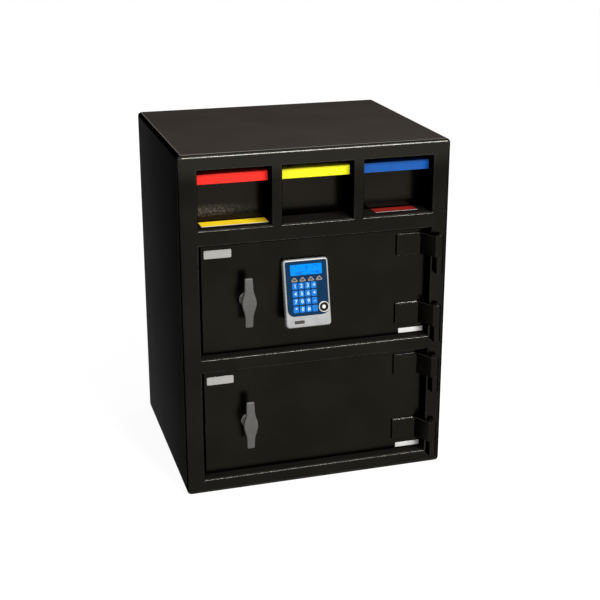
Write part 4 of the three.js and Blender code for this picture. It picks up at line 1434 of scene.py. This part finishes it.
@dataclass
class KeypadLock:
    """The keypad on the upper door: wedge, case, film, screen, keys, reader and bare chin plate.

    Attributes:
        shop: The shared workshop.
        top: The height of the line that the keypad leans about.
        depth: The case's depth off its own back.
        corner: The radius of the case's upright corners.
        margin: The case beside and above the film.
        chin: The case below the film.
        front_round: The radius of the case's front edge.
        back_edge: The slope on the case's back edge.
        film_corners: The radii of the film's corners, the lower two first.
        play: The gap round the film.
        recess: The recess under the film: a key's body of 3.2 mm, its travel of 1 mm and a gap.
        wedge_in: How far the wedge lies in from the case's outline.
        wedge_sunk: How far it reaches into the case.
        plate: The chin plate's lower left and upper right corners, off the case's top left one.
        figures: What the digit keys show, row by row.
        figure_size: The size of the figures' letters.
        figure_bold: How much bolder they are than Blender's own.
        figure_print: Half the thickness of their print.
        figure_side: How far right of a key's middle a figure stands.
        reader_floor: How far the reader's well lies in front of the case.
        body: The body of the door that it is on.
    """

    shop: Workshop
    top: float = 486.45 * MM
    depth: float = 14 * MM
    corner: float = 7 * MM
    margin: float = 4 * MM
    chin: float = 23.5 * MM
    front_round: float = 3.6 * MM
    back_edge: float = 0.6 * MM
    film_corners: tuple[float, ...] = (14 * MM, 14 * MM, 3 * MM, 3 * MM)
    play: float = 0.4 * MM
    recess: float = 4.6 * MM
    wedge_in: float = 7 * MM
    wedge_sunk: float = 1.2 * MM
    plate: tuple[Span, Span] = ((15.5 * MM, -130.9 * MM), (38.3 * MM, -122.4 * MM))
    figures: tuple[str, ...] = ("123=", "456+", "789-", "*0# ")
    figure_size: float = 10.5 * MM
    figure_bold: float = 0.16 * MM
    figure_print: float = 0.09 * MM
    figure_side: float = 0.8 * MM
    reader_floor: float = 2.6 * MM
    body: str = "upper_door"

    def __post_init__(self) -> None:
        """Finds the door's face and the case's upright corners."""
        self.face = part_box("door_upper")[0].y
        self.frame = Leaning((self.face, self.top))
        self.film = self.box("keypad_overlay")
        self.low = np.array([self.film[0].x - self.margin, self.film[0].z - self.chin])
        self.high = np.array([self.film[1].x + self.margin, self.film[1].z + self.margin])

    def place(
        self, piece: Any, finish: str, slot: Optional[str] = None, node: Optional[str] = None, body: str = ""
    ) -> None:
        """Leans a piece and fixes it, by default to the door and in place of nothing."""
        self.frame.lean(piece)
        self.shop.place(piece, body or self.body, finish, slot, [node] if node else ())

    def box(self, node: str) -> tuple[Vector, Vector]:
        """A node's box in the upright frame."""
        return self.frame.box(self.shop.nodes[node])

    def seen_from_middle(self, outline: Array, angles: Array) -> Array:
        """An outline about the case's middle, resampled in many directions.

        Args:
            outline: Points round the middle, one a row.
            angles: The directions.

        Returns:
            One point a direction.
        """
        middle = (self.low + self.high) / 2
        direction = np.stack([np.cos(angles), np.sin(angles)], axis=1)
        return middle + direction * polar(outline, middle, angles)[:, None]

    def case(self) -> Any:
        """The case: a straight wall, a round front edge, and the recess that the film covers.

        Ring i is the outline drawn in by the wall's profile, then the film's outline grown by the
        play round it, and then the recess's wall and floor.

        Returns:
            The case's object.
        """
        # A small turn keeps the first direction off the seam at half a turn
        angles = np.linspace(-np.pi, np.pi, 360, endpoint=False) + 0.001
        slope = [(self.back_edge, 0), (0, self.back_edge)]
        wall = np.vstack([slope, round_over(self.front_round, self.depth, 7)])
        outlines = [rounded_rectangle(self.low + s, self.high - s, self.corner - s, 10) for s in wall[:, 0]]
        low, high = (np.array([end.x, end.z]) for end in self.film)
        radii = np.array(self.film_corners) + self.play
        outlines.append(rounded_rectangle(low - self.play, high + self.play, radii, 10))
        rings = [self.seen_from_middle(outline, angles) for outline in outlines]
        rim = rings[-1]
        middle = rim.mean(0)
        rings += [middle + (rim - middle) * share for share in (0.998, 0.5)]
        floor = self.depth - self.recess
        heights = np.concatenate([wall[:, 1], (self.depth, floor, floor)])
        front = facing_front(np.array(rings), heights, self.face)
        return grid_object("keypad_case", front, (Cap.FACE, Cap.POLE), 50)

    def wedge(self) -> Any:
        """The dark wedge that holds the case off the door: a rounded (y, z) profile carried along X.

        Returns:
            The wedge's object.
        """
        slope = np.array([math.sin(self.frame.angle), math.cos(self.frame.angle)])
        into = np.array([slope[1], -slope[0]]) * self.wedge_sunk
        hinge = np.array([self.face, self.top])
        head = hinge - slope * self.wedge_in
        foot = hinge - slope * (self.top - self.low[1] - self.wedge_in)
        corners = np.array([(self.face, head[1]), head - into, foot - into, (self.face, foot[1])])
        profile = rounded_polygon(corners, np.array([0.2, 0.2, 1.5, 1.5]) * MM, 4)
        start, end = self.low[0] + self.wedge_in, self.high[0] - self.wedge_in
        return swept("keypad_wedge", profile, start, end, 1.2 * MM)

    def key(self, node: str) -> Any:
        """A key with a soft rim and a dished top.

        Args:
            node: The key's node.

        Returns:
            The key's object.
        """
        low, high = self.box(node)
        outline = rounded_rectangle((low.x, low.z), (high.x, high.z), 2.1 * MM)
        return raised_plate(f"{node}_top", outline, high.y, high.y - low.y, 0.7 * MM, -0.18 * MM)

    def soft_key(self, node: str) -> Any:
        """A soft key: a rounded triangle that points up, with a raised rim round a lower middle.

        Args:
            node: The key's node.

        Returns:
            The key's object.
        """
        low, high = self.box(node)
        middle, shoulder, tip = (low.x + high.x) / 2, low.z + 3 * MM, high.z + 0.8 * MM
        corners = np.array(
            [(low.x, low.z), (high.x, low.z), (high.x, shoulder), (middle, tip), (low.x, shoulder)]
        )
        outline = rounded_polygon(corners, np.array([1.6, 1.6, 2.2, 3.4, 2.2]) * MM, 6)
        return raised_plate(f"{node}_top", outline, high.y, high.y - low.y, 0.8 * MM, -0.5 * MM)

    def soft_mark(self, node: str) -> Any:
        """The darker middle that is printed on a soft key.

        Args:
            node: The key's node.

        Returns:
            The mark's object.
        """
        low, high = self.box(node)
        shape = np.array([(-3.4, 1.9), (3.4, 1.9), (3.6, 3.6), (0, 7.4), (-3.6, 3.6)]) * MM
        corners = shape + ((low.x + high.x) / 2, low.z)
        outline = rounded_polygon(corners, np.array([0.8, 0.8, 1.2, 1.6, 1.2]) * MM, 5)
        return raised_plate(f"{node}_mark", outline, low.y + 0.6 * MM, 0.5 * MM, 0.1 * MM, steps=2)

    def figure(self, text: str, node: str) -> Any:
        """One plain figure from Blender's own letters, laid on its key as a thin print.

        Args:
            text: The figure.
            node: The key's node.

        Returns:
            The figure's object.
        """
        low, high = self.box(node)
        curve = bpy.data.curves.new(f"{node}_figure", "FONT")
        curve.body, curve.align_x, curve.align_y = text, "CENTER", "CENTER"
        curve.size, curve.extrude, curve.offset = self.figure_size, self.figure_print, self.figure_bold
        loose = bpy.data.objects.new(f"{node}_figure_curve", curve)
        bpy.context.scene.collection.objects.link(loose)
        shaped = loose.evaluated_get(bpy.context.evaluated_depsgraph_get())
        mesh = bpy.data.meshes.new_from_object(shaped)
        bpy.data.objects.remove(loose)
        flat = np.zeros(len(mesh.vertices) * 3)
        mesh.vertices.foreach_get("co", flat)
        flat = flat.reshape(-1, 3)
        x = (low.x + high.x) / 2 + self.figure_side + flat[:, 0]
        z = (low.z + high.z) / 2 + flat[:, 1]
        placed = np.stack([x, low.y + 0.12 * MM - flat[:, 2], z], axis=1)
        mesh.vertices.foreach_set("co", placed.ravel())
        mesh.update()
        return finished(f"{node}_figure", mesh, 30)

    def reader(self) -> None:
        """The touch reader: a slim cream ring, a wide black well and a domed cream contact."""
        low, high = self.box("touch_reader")
        middle = ((low.x + high.x) / 2, (low.z + high.z) / 2)
        front, base, r = low.y, high.y, (high.x - low.x) / 2
        floor = base - self.reader_floor
        lip = np.array([(0, 1.2), (-0.4, 0.4), (-1.1, 0), (-1.5, 0.3), (-1.7, 1.1)]) * MM + (r, front)
        ring = [(r, base), *lip, (r - 1.8 * MM, floor), (1 * MM, floor)]
        self.place(turned("reader_ring", middle, ring), "reader_cream", "reader_white", "touch_reader")
        cup = np.array([(r / MM - 1.85, 0), (r / MM - 1.9, -0.8), (5, -0.3), (1, -0.3)])
        self.place(turned("reader_well", middle, cup * MM + (0, floor)), "reader_black")
        dome = np.array([(3.9, 1.8), (3.4, 1.1), (2.4, 0.8), (1.2, 0.65)]) * MM + (0, front)
        contact = [(3.9 * MM, floor), *dome]
        self.place(turned("reader_contact", middle, contact), "reader_cream", "reader_white")

    def chin_plate(self) -> None:
        """The small bare plate on the chin: a pale rim with a darker inset."""
        plane = self.face - self.depth
        low, high = np.array(self.plate) + (self.low[0], self.high[1])
        rim = rounded_rectangle(low, high, 1.4 * MM, 5)
        self.place(raised_plate("chin_plate_rim", rim, plane, 0.3 * MM, 0.15 * MM, steps=2), "chin_rim")
        inner = rounded_rectangle(low + 0.8 * MM, high - 0.8 * MM, 1.0 * MM, 5)
        self.place(raised_plate("chin_plate_face", inner, plane, 0.42 * MM, 0.15 * MM, steps=2), "chin_dark")

    def build(self) -> None:
        """Builds the keypad's pieces."""
        self.place(self.case(), "keypad_silver", "keypad_silver", "keypad_housing")
        self.shop.place(self.wedge(), self.body, "wedge_black")
        self.shop.keep(["keypad_overlay"], "keypad_navy", 0.15 * MM, 1)
        self.shop.keep(["keypad_screen"], "keypad_screen", 0.15 * MM, 1)
        self.shop.keep(["lock_case_upper"], "die_cast", 1.2 * MM)
        for row, figures in enumerate(self.figures, 1):
            for column, text in enumerate(figures, 1):
                node = f"key_{row}_{column}"
                self.place(self.key(node), "key_blue", "key_blue", node, f"{node}_cap")
                if text.strip():
                    self.place(self.figure(text, node), "key_figure", body=f"{node}_cap")
        for number in range(1, 5):
            node = f"soft_key_{number}"
            self.place(self.soft_key(node), "soft_key", "soft_key_grey", node, f"{node}_cap")
            self.place(self.soft_mark(node), "soft_key_dark", body=f"{node}_cap")
        self.reader()
        self.chin_plate()


@dataclass
class RecessLabels:
    """The two bare labels on the recess floors.

    Attributes:
        shop: The shared workshop.
        floor: The height of the recess floors.
        sheet: The label's thickness.
        lift: How far its front edge has lifted.
        lifted: The share of its depth that lifts.
        places: Each label's finish and its ends along X and Y, by its side.
    """

    shop: Workshop
    floor: float = 567.05 * MM
    sheet: float = 0.2 * MM
    lift: float = 0.5 * MM
    lifted: float = 0.25
    places: tuple[tuple[Side, str, Span, Span], ...] = (
        (Side.LEFT, "yellow_label", (-231 * MM, -95 * MM), (-208.3 * MM, -172.5 * MM)),
        (Side.RIGHT, "red_label", (131 * MM, 221.5 * MM), (-205 * MM, -173.5 * MM)),
    )

    def label(self, name: str, xs: Span, ys: Span) -> Any:
        """A label lying on a recess floor, its front edge lifted.

        The outline runs round in (x, y), and each point's height is the floor's, plus the lift
        times the square of its share of the way through the front quarter.

        Args:
            name: The object's name.
            xs: Its left and right ends.
            ys: Its front and back ends.

        Returns:
            The label's object.
        """
        outline = rounded_rectangle((xs[0], ys[0]), (xs[1], ys[1]), 0.8 * MM, 4)
        middle = outline.mean(0)
        shares = np.array([1.0, 1.0, 0.97, 0.75, 0.5, 0.2])
        heights = np.array([0.0, 0.7, 1.0, 1.0, 1.0, 1.0]) * self.sheet
        rings = middle + (outline - middle)[None] * shares[:, None, None]
        up = facing_up(rings, heights, self.floor)
        near = np.clip(1 - (up[..., 1] - ys[0]) / (self.lifted * (ys[1] - ys[0])), 0, 1)
        up[..., 2] += self.lift * near**2
        return grid_object(name, up, (Cap.POLE, Cap.POLE))

    def build(self) -> None:
        """Builds both labels."""
        for side, finish, xs, ys in self.places:
            self.shop.place(self.label(f"floor_label_{side.value}", xs, ys), "safe_body", finish)


# Studio


@dataclass
class Lamp:
    """An area lamp.

    Attributes:
        name: Its name.
        place: Where it stands, in metres.
        target: What it looks at.
        size: Its width and height.
        radiance: How bright its face is, white being 1.
    """

    name: str
    place: Triple
    target: Triple
    size: Span
    radiance: float

    def build(self) -> None:
        """Makes the lamp; its power is radiance times its area times pi."""
        data = bpy.data.lights.new(self.name, "AREA")
        data.shape, data.size, data.size_y = "RECTANGLE", *self.size
        data.energy = self.radiance * self.size[0] * self.size[1] * math.pi
        lamp = bpy.data.objects.new(self.name, data)
        lamp.location = self.place
        aim = Vector(self.target) - Vector(self.place)
        lamp.rotation_euler = aim.to_track_quat("-Z", "Y").to_euler()
        bpy.context.scene.collection.objects.link(lamp)


@dataclass
class Studio:
    """The camera, the pale floor, the soft lamps and the white surround.

    Attributes:
        azimuth: The camera's bearing round the safe, in degrees.
        elevation: Its height above the horizon, in degrees.
        distance: From the camera to the point it looks at.
        aim: That point, across and up from the middle of the base as the camera sees them.
        focal: The focal length over the frame's width.
        shift: The lens shift, as a share of the frame.
        floor_size: The floor's radius.
        floor_sides: Pieces in the floor's rim.
        floor_drop: How far it lies under the safe.
        floor_glow: How bright it shows to the eye.
        floor_tint: How pale it is under the lamps.
        daylight: How strongly the surround lights the object.
        lamps: The lamps.
    """

    azimuth: float = -16.562
    elevation: float = 18.04
    distance: float = 2.5477
    aim: Span = (-0.03692, 0.45525)
    focal: float = 1196.6 / 600
    shift: float = -0.06
    floor_size: float = 40.0
    floor_sides: int = 64
    floor_drop: float = 0.4 * MM
    floor_glow: float = 0.88
    floor_tint: float = 0.3
    daylight: float = 0.4
    lamps: tuple[Lamp, ...] = (
        Lamp("front_softbox", (0.9, -2.2, 2.3), (0.0, 0.0, 0.4), (1.7, 0.35), 52.0),
        Lamp("left_fill", (-2.2, -2.2, 1.3), (0.0, 0.0, 0.35), (1.2, 1.2), 2.2),
    )

    def camera(self) -> None:
        """Stands the camera near the photograph's viewpoint, higher up so that its shift is small."""
        a, e = math.radians(self.azimuth), math.radians(self.elevation)
        back = Vector((math.sin(a) * math.cos(e), -math.cos(a) * math.cos(e), math.sin(e)))
        right = Vector((math.cos(a), math.sin(a), 0))
        up = back.cross(right)
        front = Vector((0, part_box("front_frame")[0].y, 0))
        target = front + right * self.aim[0] + up * self.aim[1]
        data = bpy.data.cameras.new("camera")
        data.sensor_width = 36.0
        data.lens = self.focal * data.sensor_width
        data.shift_y = self.shift
        data.clip_end = 100
        camera = bpy.data.objects.new("camera", data)
        camera.location = target + back * self.distance
        camera.rotation_euler = (-back).to_track_quat("-Z", "Y").to_euler()
        bpy.context.scene.collection.objects.link(camera)
        bpy.context.scene.camera = camera

    def floor(self) -> None:
        """A wide pale disc under the safe that shows white but keeps a soft shadow."""
        share = np.array([0.005, 0.03, 0.2, 1.0])
        rings = circle((0, 0), self.floor_size, self.floor_sides)[None] * share[:, None, None]
        points = facing_up(rings, np.zeros(len(share)), -self.floor_drop).reshape(-1, 3)
        faces = ring_quads(len(share), self.floor_sides)[:, ::-1].tolist()
        mesh = bpy.data.meshes.new("floor")
        mesh.from_pydata(points.tolist(), [], faces + [list(range(self.floor_sides))])
        piece = finished("floor", mesh, 40)
        made = bpy.data.materials.new("floor_white")
        g = emptied(made)
        glow = g.add("ShaderNodeEmission", Strength=g.times(g.seen(), self.floor_glow))
        matte = g.add("ShaderNodeBsdfDiffuse", Color=(self.floor_tint,) * 3)
        both = g.add("ShaderNodeAddShader", in0=glow.outputs[0], in1=matte.outputs[0])
        g.add("ShaderNodeOutputMaterial", Surface=both.outputs[0])
        piece.data.materials.append(made)
        piece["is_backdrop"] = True

    def surround(self) -> None:
        """A white world to the eye and to gloss, and a dimmer one for soft light."""
        world = bpy.data.worlds.new("surround")
        bpy.context.scene.world = world
        g = emptied(world)
        strength = g.line(g.seen(), 1 - self.daylight, self.daylight)
        back = g.add("ShaderNodeBackground", Color=(1, 1, 1), Strength=strength)
        g.add("ShaderNodeOutputWorld", Surface=back.outputs[0])

    def build(self) -> None:
        """Sets up the whole studio."""
        self.camera()
        self.floor()
        self.surround()
        for lamp in self.lamps:
            lamp.build()
        bpy.context.scene.view_settings.view_transform = "Standard"


def corners(box: tuple[Vector, Vector]) -> list[list[float]]:
    """A box as plain lists."""
    return [[round(x, 6) for x in corner] for corner in box]


def main() -> None:
    """Builds the safe's looks over its frame, piece by piece."""
    logging.basicConfig(level=logging.INFO, format="%(name)s: %(message)s")
    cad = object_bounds()
    Studio().build()
    shop = Workshop(frame["nodes"])
    SafeBody(shop).build()
    DepositHoppers(shop).build()
    for door, straps, label_foot in ((Door.UPPER, (1, 2), 302 * MM), (Door.LOWER, (3, 4), 36 * MM)):
        DoorLeaf(shop, door, straps, label_foot).build()
        TurnHandle(shop, door).build()
    KeypadLock(shop).build()
    RecessLabels(shop).build()
    {"cad": corners(cad), "visual": corners(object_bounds())}
    LOG.info("cad %s visual %s", corners(cad), corners(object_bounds()))


if __name__ == "__main__":
    main()
